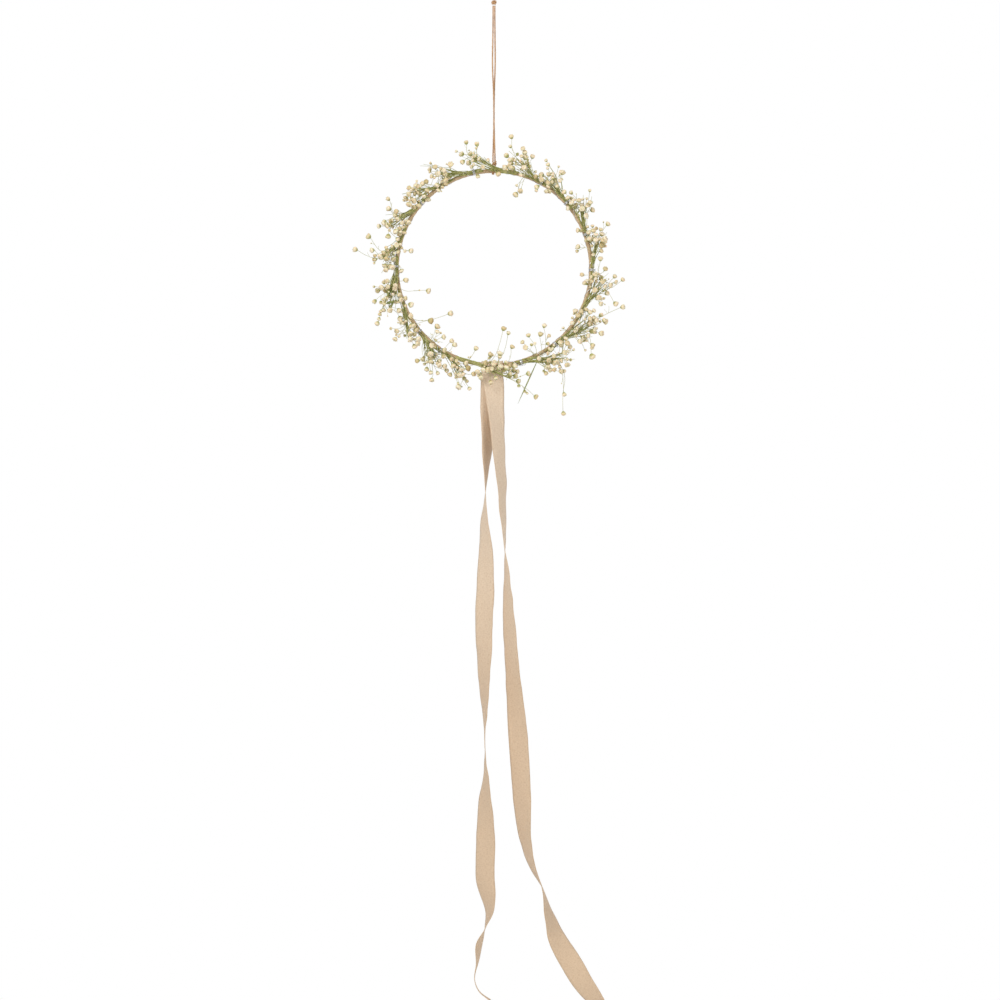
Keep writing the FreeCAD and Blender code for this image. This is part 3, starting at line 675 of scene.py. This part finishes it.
def make_stalks(florets, lines, settings, rng):
    """The fine stalks of some heads, which run along a stem before they leave it, with their side buds:
    runs for tubes, and each head's place."""
    runs = []
    heads = []
    for foot, centre, radius in florets:
        reach = (centre - foot).length
        way = (centre - foot).normalized()
        nearest = min(lines, key=lambda line: min((p - foot).length for p in line))
        places = walk(nearest, 1.0 * MM)
        at = min(range(len(places)), key=lambda i: (places[i][1] - foot).length)
        along = places[at][2]
        face = (way + gauss_vector(rng) * settings.head_tilt + along * 0.1).normalized()
        base = centre - face * radius * 0.92
        lift = (foot - places[at][1]).normalized() * 0.55 * MM
        back = min(at, max(18, at - rng.randrange(9, 22)))
        bow = (along - way * along.dot(way)) * reach * settings.stalk_bow
        first = foot + way * reach * 0.3 + bow
        second = foot + way * reach * 0.68 + bow * 0.6 + gauss_vector(rng) * reach * 0.08
        points = [places[back][1] + lift, places[(back + at) // 2][1] + lift * 1.2, foot + lift * 0.5]
        points += [first, second, base]
        runs.append((points, [r * MM for r in STALK_RADII], True))
        heads.append((centre, face, radius * rng.uniform(0.96, 1.16)))
        low = centre.z < (HOOP_BOTTOM_Z + BUDLESS_RISE) * MM
        near_fold = low and abs(centre.x) < BUDLESS_SIDE * MM
        for _ in range(settings.side_buds):
            if rng.random() < settings.bud_share and not near_fold:
                node = foot.lerp(first, 0.7).lerp(second, rng.uniform(0.0, 0.9))
                tip = node + (way + gauss_vector(rng) * 1.4).normalized() * rng.uniform(*BUD_REACH) * MM
                bend = (node + tip) / 2 + along * 0.5 * MM
                runs.append(([node, bend, tip], [r * MM for r in BUD_RADII], True))
                if rng.random() < 0.7:
                    heads.append((tip, (tip - bend).normalized(), rng.triangular(0.6, 2.3, 1.0) * MM))
    return runs, heads


def crowded_head(place, lines):
    """A head over the fold: its stalk's foot, on a stem a stalk's length off, its centre and its radius."""
    x, forward, z, radius = place
    centre = Vector((x, -forward, z)) * MM
    feet = [p for line in lines for p in line[len(line) // 3:]]
    return min(feet, key=lambda p: abs((p - centre).length - FOLD_STALK * MM)), centre, radius * MM


def flower_shape(kind, rng):
    """One dried head of unit radius about the origin, facing up: a calyx with crumpled rings of petals."""
    outline = [
        (0.0, -1.0), (0.34, -0.93), (0.62, -0.68), (0.86, -0.34), (1.02, 0.02), (0.99, 0.38),
        (0.8, 0.7), (0.55, 0.58), (0.4, 0.86), (0.2, 0.74), (0.0, 0.9),
    ]
    if kind == "bud":
        outline = [(0.0, -1.0), (0.5, -0.8), (0.85, -0.2), (0.7, 0.5), (0.3, 0.95), (0.0, 1.0)]
    mesh = bmesh.new()
    verts = [mesh.verts.new((r, 0, z)) for r, z in outline]
    edges = [mesh.edges.new(pair) for pair in zip(verts, verts[1:])]
    steps = 7 if kind == "bud" else 12
    bmesh.ops.spin(mesh, geom=verts + edges, cent=(0, 0, 0), axis=(0, 0, 1), angle=math.tau,
                   steps=steps, use_merge=True, use_duplicate=False)
    bmesh.ops.remove_doubles(mesh, verts=mesh.verts, dist=0.001)
    calyx = mesh.verts.layers.float.new("calyx")
    mesh.verts.layers.float.new("tone")
    lobes = rng.choice((4, 5, 6))
    first, second = rng.uniform(0, 6), rng.uniform(0, 6)
    for vert in mesh.verts:
        height = vert.co.z
        if kind == "bud":
            vert[calyx] = clamp((0.1 - height) * 1.6)
            continue
        vert[calyx] = clamp((-0.12 - height) * 2.2)
        angle = math.atan2(vert.co.y, vert.co.x)
        petals = clamp((height + 0.3) * 2.0)
        reach = 1.0 + petals * (0.13 * math.cos(lobes * angle + first) + rng.uniform(-0.07, 0.07))
        rise = petals * (0.15 * math.cos((lobes + 1) * angle + second) + rng.uniform(-0.08, 0.08))
        vert.co = Vector((vert.co.x * reach, vert.co.y * reach, height + rise))
    bmesh.ops.recalc_face_normals(mesh, faces=mesh.faces)
    data = bpy.data.meshes.new(kind)
    mesh.to_mesh(data)
    mesh.free()
    return data


def make_heads(name, heads, shapes, bud, rng):
    """The heads of one bunch: each a turned copy of a dried flower with a tone of its own."""
    mesh = bmesh.new()
    for centre, face, radius in heads:
        shape = bud if radius < SMALLEST_FLOWER * MM else rng.choice(shapes)
        before = len(mesh.verts)
        mesh.from_mesh(shape)
        mesh.verts.ensure_lookup_table()
        tone = mesh.verts.layers.float["tone"]
        aim = face.to_track_quat("Z", "Y").to_matrix().to_4x4()
        turn = aim @ Matrix.Rotation(rng.uniform(0, 6.28), 4, "Z")
        squeeze = Matrix.Diagonal([rng.uniform(*span) for span in HEAD_SQUEEZE] + [1])
        place = Matrix.Translation(centre) @ turn @ Matrix.Scale(radius, 4) @ squeeze
        age = clamp(rng.gauss(0.38, 0.26))
        for vert in mesh.verts[before:]:
            vert.co = place @ vert.co
            vert[tone] = age
    return keep(name, mesh, "gypsophila_petal_air_dried")


def make_stem_piece(name, thick, fine):
    """The stems and the fine stalks of one bunch as one piece, in a few tones."""
    mesh = bmesh.new()
    mesh.verts.layers.float.new("fine")
    groups = [(thick[k::3], 1, 0.25 * k) for k in range(3)]
    groups += [(fine[k::3], 0, 0.5 + 0.25 * k) for k in range(3)]
    for runs, sides, tone in groups:
        if runs:
            part = tubes(runs, sides)
            mark = part.verts.layers.float.new("fine")
            for vert in part.verts:
                vert[mark] = tone
            join(mesh, part)
    return keep(name, mesh, "gypsophila_stem_air_dried")


def make_leaf(mesh, points, rng):
    """Add one folded, bowed leaf to a bmesh along the CAD leaf's points, and give its stalk's run."""
    middle = average(points)
    first = max(points, key=lambda p: (p - middle).length)
    second = max(points, key=lambda p: (p - first).length)
    foot, tip = sorted((first, second), key=lambda p: (p - hoop_point(degrees_at(p))).length)
    way = (tip - foot).normalized()
    side = way.cross(Vector((0, 1, 0))).normalized()
    wide_points = [p for p in points if abs((p - foot).dot(side)) > 0.3 * MM]
    neck = min((p - foot).dot(way) for p in wide_points) * 0.6
    width = max(abs((p - foot).dot(side)) for p in points)
    start = foot + way * neck
    reach = (tip - start).length
    made = bmesh.ops.create_grid(mesh, x_segments=9, y_segments=4, size=0.5)["verts"]
    rib = mesh.verts.layers.float["rib"]
    twist = rng.uniform(-0.8, 0.8)
    for vert in made:
        share = vert.co.x + 0.5
        across = vert.co.y * 2.0
        half = width * LEAF_SHARE * math.sin(math.pi * min(1.0, share * 0.93 + 0.07)) ** 0.8
        angle = twist * share
        wide = side * math.cos(angle) + Vector((0, -1, 0)) * math.sin(angle)
        bow = 0.08 * reach * math.sin(math.pi * share)
        lift = Vector((0, -1, 0)) * (bow + abs(across) * half * 0.35)
        vert[rib] = 0.7 if abs(across) < 0.01 else 0.0
        vert.co = start + way * reach * share + wide * (across * half) + lift
    return [foot, foot.lerp(start, 0.5) + side * 0.3 * MM, start + way * 1.0 * MM], [0.2 * MM] * 3, True


# ---------------------------------------------------------------- ribbon

def smooth_stations(stations, step):
    """Stations along a tail joined by a smooth curve: centre in metres, and the width's turn."""
    rows = []
    for i in range(len(stations) - 1):
        a, b = Vector(stations[i]), Vector(stations[i + 1])
        before = Vector(stations[max(i - 1, 0)])
        after = Vector(stations[min(i + 2, len(stations) - 1)])
        span = b[0] - a[0]
        slope_a = (b - before) * (span / max(b[0] - before[0], 1.0))
        slope_b = (after - a) * (span / max(after[0] - a[0], 1.0))
        count = max(2, round(span / step))
        for k in range(count + (i == len(stations) - 2)):
            t = k / count
            rows.append(a * (2 * t**3 - 3 * t**2 + 1) + slope_a * (t**3 - 2 * t**2 + t)
                        + b * (3 * t**2 - 2 * t**3) + slope_b * (t**3 - t**2))
    return [(Vector((x, -forward, HOOP_BOTTOM_Z - down)) * MM, turn) for down, x, forward, turn in rows]


def tail_frame(centres, i, turn):
    """The ribbon's width and thickness directions at one row."""
    along = (centres[min(i + 1, len(centres) - 1)] - centres[max(i - 1, 0)]).normalized()
    if i == 0:
        along = Vector((0, 0, -1))
    flat = along.cross(Vector((0, 1, 0))).normalized()
    if flat.x < 0:
        flat = -flat
    angle = math.radians(turn)
    wide = flat * math.cos(angle) + Vector((0, 1, 0)) * math.sin(angle)
    return along, wide, wide.cross(along).normalized()


def cloth(name, rows, settings, seed, cup=0.0):
    """A strip of ribbon from rows of centre, width and thickness ways, with its edges a little wavy."""
    columns = settings.columns
    mesh = bmesh.new()
    uv = mesh.loops.layers.uv.new("cloth")
    grid = []
    down = 0.0
    for i, (centre, wide, thin) in enumerate(rows):
        if i:
            down += (centre - rows[i - 1][0]).length
        line = []
        for k in range(columns + 1):
            across = k / columns * 2 - 1
            wave = noise.noise(Vector((down * 60.0, across * 1.5, seed))) * settings.edge_wave
            curl = settings.curl * (across**2 - 0.4) * noise.noise(Vector((down * 18.0, seed, 3.0)))
            ragged = noise.noise(Vector((down * 300.0, seed * 3.0, across))) * 0.12 * MM * abs(across)**6
            offset = across * (RIBBON_WIDTH * MM / 2 + ragged)
            rolled = cup * min(0.0, across) ** 2 * max(0.0, 1.0 - down / 0.12)
            point = centre + wide * offset + thin * (wave * abs(across)**2 + curl + rolled)
            line.append((mesh.verts.new(point), ((across + 1) * RIBBON_WIDTH * MM / 2, down)))
        grid.append(line)
    for upper, lower in zip(grid, grid[1:]):
        for k in range(columns):
            corners = [upper[k], upper[k + 1], lower[k + 1], lower[k]]
            face = mesh.faces.new([corner[0] for corner in corners])
            for loop, corner in zip(face.loops, corners):
                loop[uv].uv = corner[1]
    piece = keep(name, mesh, "linen_ribbon_plain_weave")
    thicken(piece, settings.thickness)
    return piece, down


def thicken(piece, thickness):
    """Give a thin sheet its thickness, half to each side, and keep that as its mesh."""
    solid = piece.modifiers.new("thickness", "SOLIDIFY")
    solid.thickness = thickness
    solid.offset = 0.0
    shown = piece.evaluated_get(bpy.context.evaluated_depsgraph_get())
    old = piece.data
    piece.data = bpy.data.meshes.new_from_object(shown)
    piece.modifiers.clear()
    bpy.data.meshes.remove(old)


def make_fringe(name, row, way, rng):
    """The loose threads at a tail's cut end."""
    centre, wide, thin = row
    runs = []
    for _ in range(FRINGE_THREADS):
        across = rng.uniform(-0.5, 0.5) * RIBBON_WIDTH * MM
        start = centre + wide * across - way * 0.5 * MM
        reach = rng.uniform(1.0, 3.4) * MM
        middle = start + way * reach * 0.6 + thin * rng.uniform(-0.3, 0.3) * MM
        end = start + way * reach + (wide * rng.uniform(-0.5, 0.5) + thin * rng.uniform(-0.7, 0.7)) * MM
        runs.append(([start, middle, end], [r * MM for r in FRINGE_RADII], True))
    return keep(name, tubes(runs, 0), "linen_thread_loose")


def make_tail(side, stations, settings, rng):
    """One hanging tail of the ribbon, with its loose end threads."""
    places = smooth_stations(stations, 2.5)
    centres = [place[0] for place in places]
    frames = [tail_frame(centres, i, turn) for i, (_, turn) in enumerate(places)]
    rows = [(centre, wide, thin) for centre, (_, wide, thin) in zip(centres, frames)]
    seed, cup = (5.0, settings.cup) if side == "left" else (9.0, 0.0)
    piece, length = cloth(f"ribbon_tail_{side}_cloth", rows, settings, seed, cup)
    fringe = make_fringe(f"ribbon_tail_{side}_threads", rows[-1], frames[-1][0], rng)
    settle(piece, f"ribbon_tail_{side}")
    settle(fringe, body=f"tail_{side}")
    start = Vector((RIBBON_OFFSET, 0, RIBBON_PIVOT_Z + 3.0)) * MM
    end = Vector((RIBBON_OFFSET, 0, RIBBON_PIVOT_Z - 9.0)) * MM
    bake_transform(piece, "ribbon", f"tail_{side}", start, end)


def make_fold(settings):
    """The ribbon's turn over the bottom of the hoop, front leg first."""
    centre = Vector((RIBBON_OFFSET, 0, HOOP_BOTTOM_Z + FOLD_LIFT))
    leg_foot = RIBBON_PIVOT_Z + 1.0
    places = [(-FOLD_RADIUS, leg_foot + (centre.z - leg_foot) * k / 6) for k in range(6)]
    for k in range(17):
        angle = math.pi * k / 16
        places.append((-math.cos(angle) * FOLD_RADIUS, centre.z + math.sin(angle) * FOLD_RADIUS))
    places += [(FOLD_RADIUS, centre.z - (centre.z - leg_foot) * k / 6) for k in range(1, 7)]
    points = [Vector((RIBBON_OFFSET, y, z)) * MM for y, z in places]
    rows = []
    for i, point in enumerate(points):
        along = (points[min(i + 1, len(points) - 1)] - points[max(i - 1, 0)]).normalized()
        rows.append((point, Vector((1, 0, 0)), Vector((1, 0, 0)).cross(along)))
    piece, length = cloth("ribbon_fold_cloth", rows, settings, 1.0)
    settle(piece, "ribbon_fold", "ribbon")


# ---------------------------------------------------------------- settings

class TwineSettings(bpy.types.PropertyGroup):
    """How the jute twine is laid."""

    strands: IntProperty(name="Strands", description="Strands laid together", default=3, min=2, max=4)
    pitch: FloatProperty(name="Lay", description="Length of one full turn", default=0.0048, min=0.002,
                         unit="LENGTH")
    hair: FloatProperty(name="Fibre", description="Longest loose fibre", default=0.0022, min=0.0,
                        unit="LENGTH")
    hairs: IntProperty(name="Fibres per leg", description="Loose fibres on each leg", default=160, min=0)


class HoopSettings(bpy.types.PropertyGroup):
    """How the hoop is taped and bound."""

    laps: IntProperty(name="Laps", description="Turns of tape round the hoop", default=96, min=20)
    tie_width: FloatProperty(name="Tie", description="Half the length of a tie, in millimetres",
                             default=1.15, min=1.0)
    tie_turns: FloatProperty(name="Turns", description="Turns of wire at a tie", default=4.0, min=1.0)
    tie_lift: FloatProperty(name="Lift", description="How far the wire stands off the stems, in millimetres",
                            default=1.3, min=0.0)


class SprigSettings(bpy.types.PropertyGroup):
    """How the sprigs grow."""

    stalk_bow: FloatProperty(name="Bow", description="How far a stalk bows, as a share of its length",
                             default=0.12, min=0.0, max=0.4)
    head_tilt: FloatProperty(name="Tilt", description="How far heads nod from their stalks", default=0.28,
                             min=0.0, max=1.0)
    side_buds: IntProperty(name="Side buds", description="Most side buds on one stalk", default=3, min=0)
    bud_share: FloatProperty(name="Bud share", description="How many of those buds grow", default=0.5,
                             min=0.0, max=1.0)
    side_shoots: IntProperty(name="Side shoots", description="Thin shoots beside each stem", default=3, min=0)
    shoot_heads: FloatProperty(name="Shoot heads", description="How many shoots end in a head", default=0.55,
                               min=0.0, max=1.0)
    seed: IntProperty(name="Seed", description="Start of the random numbers", default=7, min=1)


class RibbonSettings(bpy.types.PropertyGroup):
    """How the linen ribbon is cut and lies."""

    columns: IntProperty(name="Columns", description="Faces across the ribbon", default=10, min=2)
    thickness: FloatProperty(name="Thickness", description="Thickness of the cloth", default=0.00045,
                             min=0.0001, unit="LENGTH")
    curl: FloatProperty(name="Curl", description="How far the cloth cups across its width", default=0.0016,
                        min=0.0, unit="LENGTH")
    cup: FloatProperty(name="Cup", description="How far the left tail's outer edge rolls back at its top",
                       default=0.0035, min=0.0, unit="LENGTH")
    edge_wave: FloatProperty(name="Edge wave", description="How far the edges ripple", default=0.0009,
                             min=0.0, unit="LENGTH")


class StageSettings(bpy.types.PropertyGroup):
    """The camera and the lights."""

    lens: FloatProperty(name="Lens", description="Focal length in millimetres", default=200.0, min=20.0)
    frame_height: FloatProperty(name="Frame", description="Height that the picture spans", default=1.03,
                                min=0.1, unit="LENGTH")
    key: FloatProperty(name="Key light", description="Power of the key light in watts", default=26.0,
                       min=0.0)
    ambient: FloatProperty(name="Ambient", description="Strength of the light from all round", default=0.62,
                           min=0.0)


class WreathSettings(bpy.types.PropertyGroup):
    """All settings of the wreath."""

    twine: PointerProperty(type=TwineSettings)
    hoop: PointerProperty(type=HoopSettings)
    sprig: PointerProperty(type=SprigSettings)
    ribbon: PointerProperty(type=RibbonSettings)
    stage: PointerProperty(type=StageSettings)


# ---------------------------------------------------------------- operators

class WREATH_OT_materials(bpy.types.Operator):
    """Make the wreath's materials"""

    bl_idname = "wreath.materials"
    bl_label = "Materials"

    def execute(self, context):
        make_petal_material()
        make_stem_material()
        make_leaf_material()
        make_tape_material()
        make_wire_material("binding_wire_tinned_drawn", "F8FAFF", 0.3)
        make_wire_material("core_wire_steel_drawn", "8E9092", 0.35)
        make_twine_material()
        make_linen_material()
        tree, shader = new_material("linen_thread_loose", 0.85, Sheen_Weight=0.25)
        shade = ramp(tree, grain(tree, object_place(tree), 0.002), [(0.3, "C9AE88"), (0.7, "E6D6BC")])
        cover(tree, shader, shade)
        return {"FINISHED"}


class WREATH_OT_hoop(bpy.types.Operator):
    """Build the taped hoop and its binding wire"""

    bl_idname = "wreath.hoop"
    bl_label = "Hoop"

    def execute(self, context):
        settings = context.scene.wreath.hoop
        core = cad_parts["ring_core_wire"]
        core.data.materials.clear()
        core.data.materials.append(bpy.data.materials["core_wire_steel_drawn"])
        settle(make_tape(settings), "ring_paper_tape", "wreath")
        settle(make_binding(settings), "binding_wire", "wreath")
        return {"FINISHED"}


class WREATH_OT_twine(bpy.types.Operator):
    """Build the hanging eye, its knot, the two legs and the hitch"""

    bl_idname = "wreath.twine"
    bl_label = "Twine"

    def execute(self, context):
        settings = context.scene.wreath.twine
        rng = random.Random(3)
        side = [Vector((-EYE_HALF_WIDTH * w, 0, EYE_FOOT_Z + (EYE_TOP_Z - EYE_FOOT_Z) * h))
                for w, h in EYE_RISE]
        eye_line = route([p * MM for p in side + [Vector((-p.x, 0, p.z)) for p in reversed(side)]])
        eye = self.hang("hanging_eye_twine", eye_line, "hanging_eye_loop", rng, EYE_HAIRS)
        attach(eye, "eye")
        knot = twine("twine_knot_tied", self.knot_line(KNOT_Z), settings, rng, KNOT_HAIRS)
        settle(knot, "twine_top_knot", "knot")
        for name, shape in (("left", LEFT_LEG), ("right", RIGHT_LEG)):
            line = route([Vector((x, y, LEG_TOP_Z + (LEG_END_Z - LEG_TOP_Z) * h)) * MM for x, y, h in shape])
            leg = self.hang(f"twine_leg_{name}_laid", line, f"twine_leg_{name}", rng, settings.hairs)
            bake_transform(leg, "hanger", "hitch", line[0], line[-1])
        hitch = twine("twine_hitch_tied", self.hitch_line(), settings, rng, KNOT_HAIRS)
        settle(hitch, "twine_hitch", "hitch")
        over = twine("twine_hitch_knot", self.knot_line(HITCH_KNOT_Z, 2.0), settings, rng, EYE_HAIRS)
        settle(over, body="hitch")
        return {"FINISHED"}

    def hang(self, name, line, node, rng, hairs):
        """A taut length of twine that stands for a node."""
        piece = twine(name, line, bpy.context.scene.wreath.twine, rng, hairs)
        settle(piece, node)
        return piece

    def knot_line(self, height_z, lean=0.7):
        """The line of an overhand knot: close turns round a small ball."""
        points = []
        for i in range(61):
            share = i / 60
            angle = math.tau * KNOT_TURNS * share
            height = (share * 2 - 1) * KNOT_HALF_HEIGHT
            reach = math.sqrt(max(0.2, (KNOT_RADIUS - TWINE_RADIUS) ** 2 - height**2)) * 0.96
            z = height_z + height + math.sin(angle + share * lean) * lean
            points.append(Vector((math.cos(angle) * reach, math.sin(angle) * reach, z)) * MM)
        return points

    def hitch_line(self):
        """The line of the lark's head round the hoop's top, with the bar that crosses behind it."""
        top = HOOP_CENTRE_Z + HOOP_RADIUS
        points = []
        for i in range(97):
            share = i / 96
            angle = math.tau * 2.0 * share
            x = HITCH_X + (share * 2 - 1) * TWINE_RADIUS * 1.5
            reach = WRAP_RADIUS + 0.12 * math.sin(angle * 3)
            points.append(Vector((x, math.sin(angle) * reach, top + math.cos(angle) * reach)) * MM)
        bar_y = WRAP_RADIUS + TWINE_RADIUS * 1.6
        points.append(Vector((HITCH_X + TWINE_RADIUS * 1.6, bar_y * 0.7, top + bar_y * 0.8)) * MM)
        points.append(Vector((HITCH_X + TWINE_RADIUS * 0.8, bar_y, top)) * MM)
        points.append(Vector((HITCH_X - TWINE_RADIUS * 0.8, bar_y, top)) * MM)
        return points


class WREATH_OT_sprigs(bpy.types.Operator):
    """Build every bunch's stems, stalks and heads, the stray heads and the leaves"""

    bl_idname = "wreath.sprigs"
    bl_label = "Sprigs"

    def execute(self, context):
        settings = context.scene.wreath.sprig
        rng = random.Random(settings.seed)
        noise.seed_set(settings.seed)
        shapes = [flower_shape("flower", rng) for _ in range(6)]
        bud = flower_shape("bud", rng)
        every_line = []
        bunches = sorted(name[6:8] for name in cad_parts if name.endswith("_stems"))
        for number in bunches:
            lines = [route(points) for points in stems_of(f"sprig_{number}_stems")]
            every_line += lines
            thick, heads = make_stem_runs(lines, settings, rng)
            florets = florets_of(f"sprig_{number}_heads")
            if number == FOLD_BUNCH:
                florets += [crowded_head(place, lines) for place in FOLD_HEADS]
            fine, more = make_stalks(florets, lines, settings, rng)
            stems = make_stem_piece(f"sprig_{number}_stalks", thick, fine)
            flowers = make_heads(f"sprig_{number}_flowers", heads + more, shapes, bud, rng)
            settle(stems, f"sprig_{number}_stems", "wreath")
            settle(flowers, f"sprig_{number}_heads", "wreath")
        fine, heads = make_stalks(florets_of("stray_heads"), every_line, settings, rng)
        stalks = make_stem_piece("stray_stalks", fine[:1], fine[1:])
        settle(stalks, body="wreath")
        flowers = make_heads("stray_flowers", heads, shapes, bud, rng)
        settle(flowers, "stray_heads", "wreath")
        mesh = bmesh.new()
        mesh.verts.layers.float.new("rib")
        stalks = [make_leaf(mesh, points, rng) for points in islands("sprig_leaves")]
        leaves = keep("sprig_leaf_blades", mesh, "gypsophila_leaf_air_dried")
        thicken(leaves, LEAF_THICKNESS * MM)
        petioles = make_stem_piece("sprig_leaf_stalks", stalks[:1], stalks[1:])
        settle(petioles, body="wreath")
        settle(leaves, "sprig_leaves", "wreath")
        return {"FINISHED"}


class WREATH_OT_ribbon(bpy.types.Operator):
    """Build the ribbon's fold and its two tails"""

    bl_idname = "wreath.ribbon"
    bl_label = "Ribbon"

    def execute(self, context):
        settings = context.scene.wreath.ribbon
        rng = random.Random(11)
        make_fold(settings)
        make_tail("left", LEFT_TAIL, settings, rng)
        make_tail("right", RIGHT_TAIL, settings, rng)
        return {"FINISHED"}


class WREATH_OT_stage(bpy.types.Operator):
    """Set up the floor, the lights, the white surroundings and the camera"""

    bl_idname = "wreath.stage"
    bl_label = "Stage"

    def execute(self, context):
        settings = context.scene.wreath.stage
        self.make_floor()
        self.make_world(context.scene, settings)
        for name, place, size, power in (
            ("key", (-1.6, -2.2, 0.9), 1.6, settings.key * 2.2),
            ("fill", (1.9, -1.8, -0.4), 1.8, settings.key * 0.9),
            ("rim", (0.6, 1.8, 0.8), 1.2, settings.key * 0.8),
        ):
            self.make_light(name, Vector(place), size, power)
        data = bpy.data.cameras.new("camera")
        data.lens = settings.lens
        camera = bpy.data.objects.new("camera", data)
        far = settings.lens / data.sensor_width * settings.frame_height
        camera.location = (0.0062, -far, -0.5364)
        camera.rotation_euler = (math.radians(90), 0, 0)
        context.scene.collection.objects.link(camera)
        context.scene.camera = camera
        context.scene.view_settings.view_transform = "Standard"
        return {"FINISHED"}

    def make_floor(self):
        """A pale floor well below the ribbon's ends."""
        mesh = bmesh.new()
        bmesh.ops.create_grid(mesh, x_segments=1, y_segments=1, size=0.5,
                              matrix=Matrix.Translation((0, -0.05, -1.13)))
        tree, shader = new_material("floor_matt_white_painted", 0.9)
        shade = ramp(tree, grain(tree, object_place(tree), 0.3), [(0.3, "F2F2F0"), (0.7, "F8F8F6")])
        cover(tree, shader, shade)
        keep("floor", mesh, "floor_matt_white_painted")

    def make_world(self, scene, settings):
        """Soft white light from all round, against plain white."""
        world = bpy.data.worlds.new("studio")
        world.use_nodes = True
        tree = world.node_tree
        seen = add(tree, "ShaderNodeLightPath").outputs["Is Camera Ray"]
        strength = add(tree, "ShaderNodeMapRange", None,
                       {"Value": seen, "To Min": settings.ambient, "To Max": 1.0}).outputs["Result"]
        tree.nodes["Background"].inputs["Color"].default_value = (1, 1, 1, 1)
        tree.links.new(strength, tree.nodes["Background"].inputs["Strength"])
        scene.world = world

    def make_light(self, name, place, size, power):
        """A soft square light that faces the wreath."""
        data = bpy.data.lights.new(name, "AREA")
        data.size = size
        data.energy = power
        light = bpy.data.objects.new(name, data)
        light.location = place
        light.rotation_euler = (Vector((0, 0, -0.45)) - place).to_track_quat("-Z", "Y").to_euler()
        bpy.context.scene.collection.objects.link(light)


class WREATH_PT_panel(bpy.types.Panel):
    """The wreath's settings and steps, in the sidebar"""

    bl_idname = "WREATH_PT_panel"
    bl_label = "Dried flower wreath"
    bl_space_type = "VIEW_3D"
    bl_region_type = "UI"
    bl_category = "Wreath"

    def draw(self, context):
        settings = context.scene.wreath
        for title, group, operator in (
            ("Hoop", settings.hoop, WREATH_OT_hoop),
            ("Twine", settings.twine, WREATH_OT_twine),
            ("Sprigs", settings.sprig, WREATH_OT_sprigs),
            ("Ribbon", settings.ribbon, WREATH_OT_ribbon),
            ("Stage", settings.stage, WREATH_OT_stage),
        ):
            box = self.layout.box()
            box.label(text=title)
            for name in type(group).__annotations__:
                box.prop(group, name)
            box.operator(operator.bl_idname)


CLASSES = (
    TwineSettings, HoopSettings, SprigSettings, RibbonSettings, StageSettings, WreathSettings,
    WREATH_OT_materials, WREATH_OT_hoop, WREATH_OT_twine, WREATH_OT_sprigs, WREATH_OT_ribbon,
    WREATH_OT_stage, WREATH_PT_panel,
)


def register():
    """Register the classes and the scene's settings."""
    for made in CLASSES:
        bpy.utils.register_class(made)
    bpy.types.Scene.wreath = PointerProperty(type=WreathSettings)


def unregister():
    """Undo register."""
    del bpy.types.Scene.wreath
    for made in reversed(CLASSES):
        bpy.utils.unregister_class(made)


def main():
    """Build the whole wreath."""
    register()
    bpy.ops.wreath.materials()
    bpy.ops.wreath.hoop()
    bpy.ops.wreath.twine()
    bpy.ops.wreath.sprigs()
    bpy.ops.wreath.ribbon()
    bpy.ops.wreath.stage()


if __name__ == "__main__":
    main()
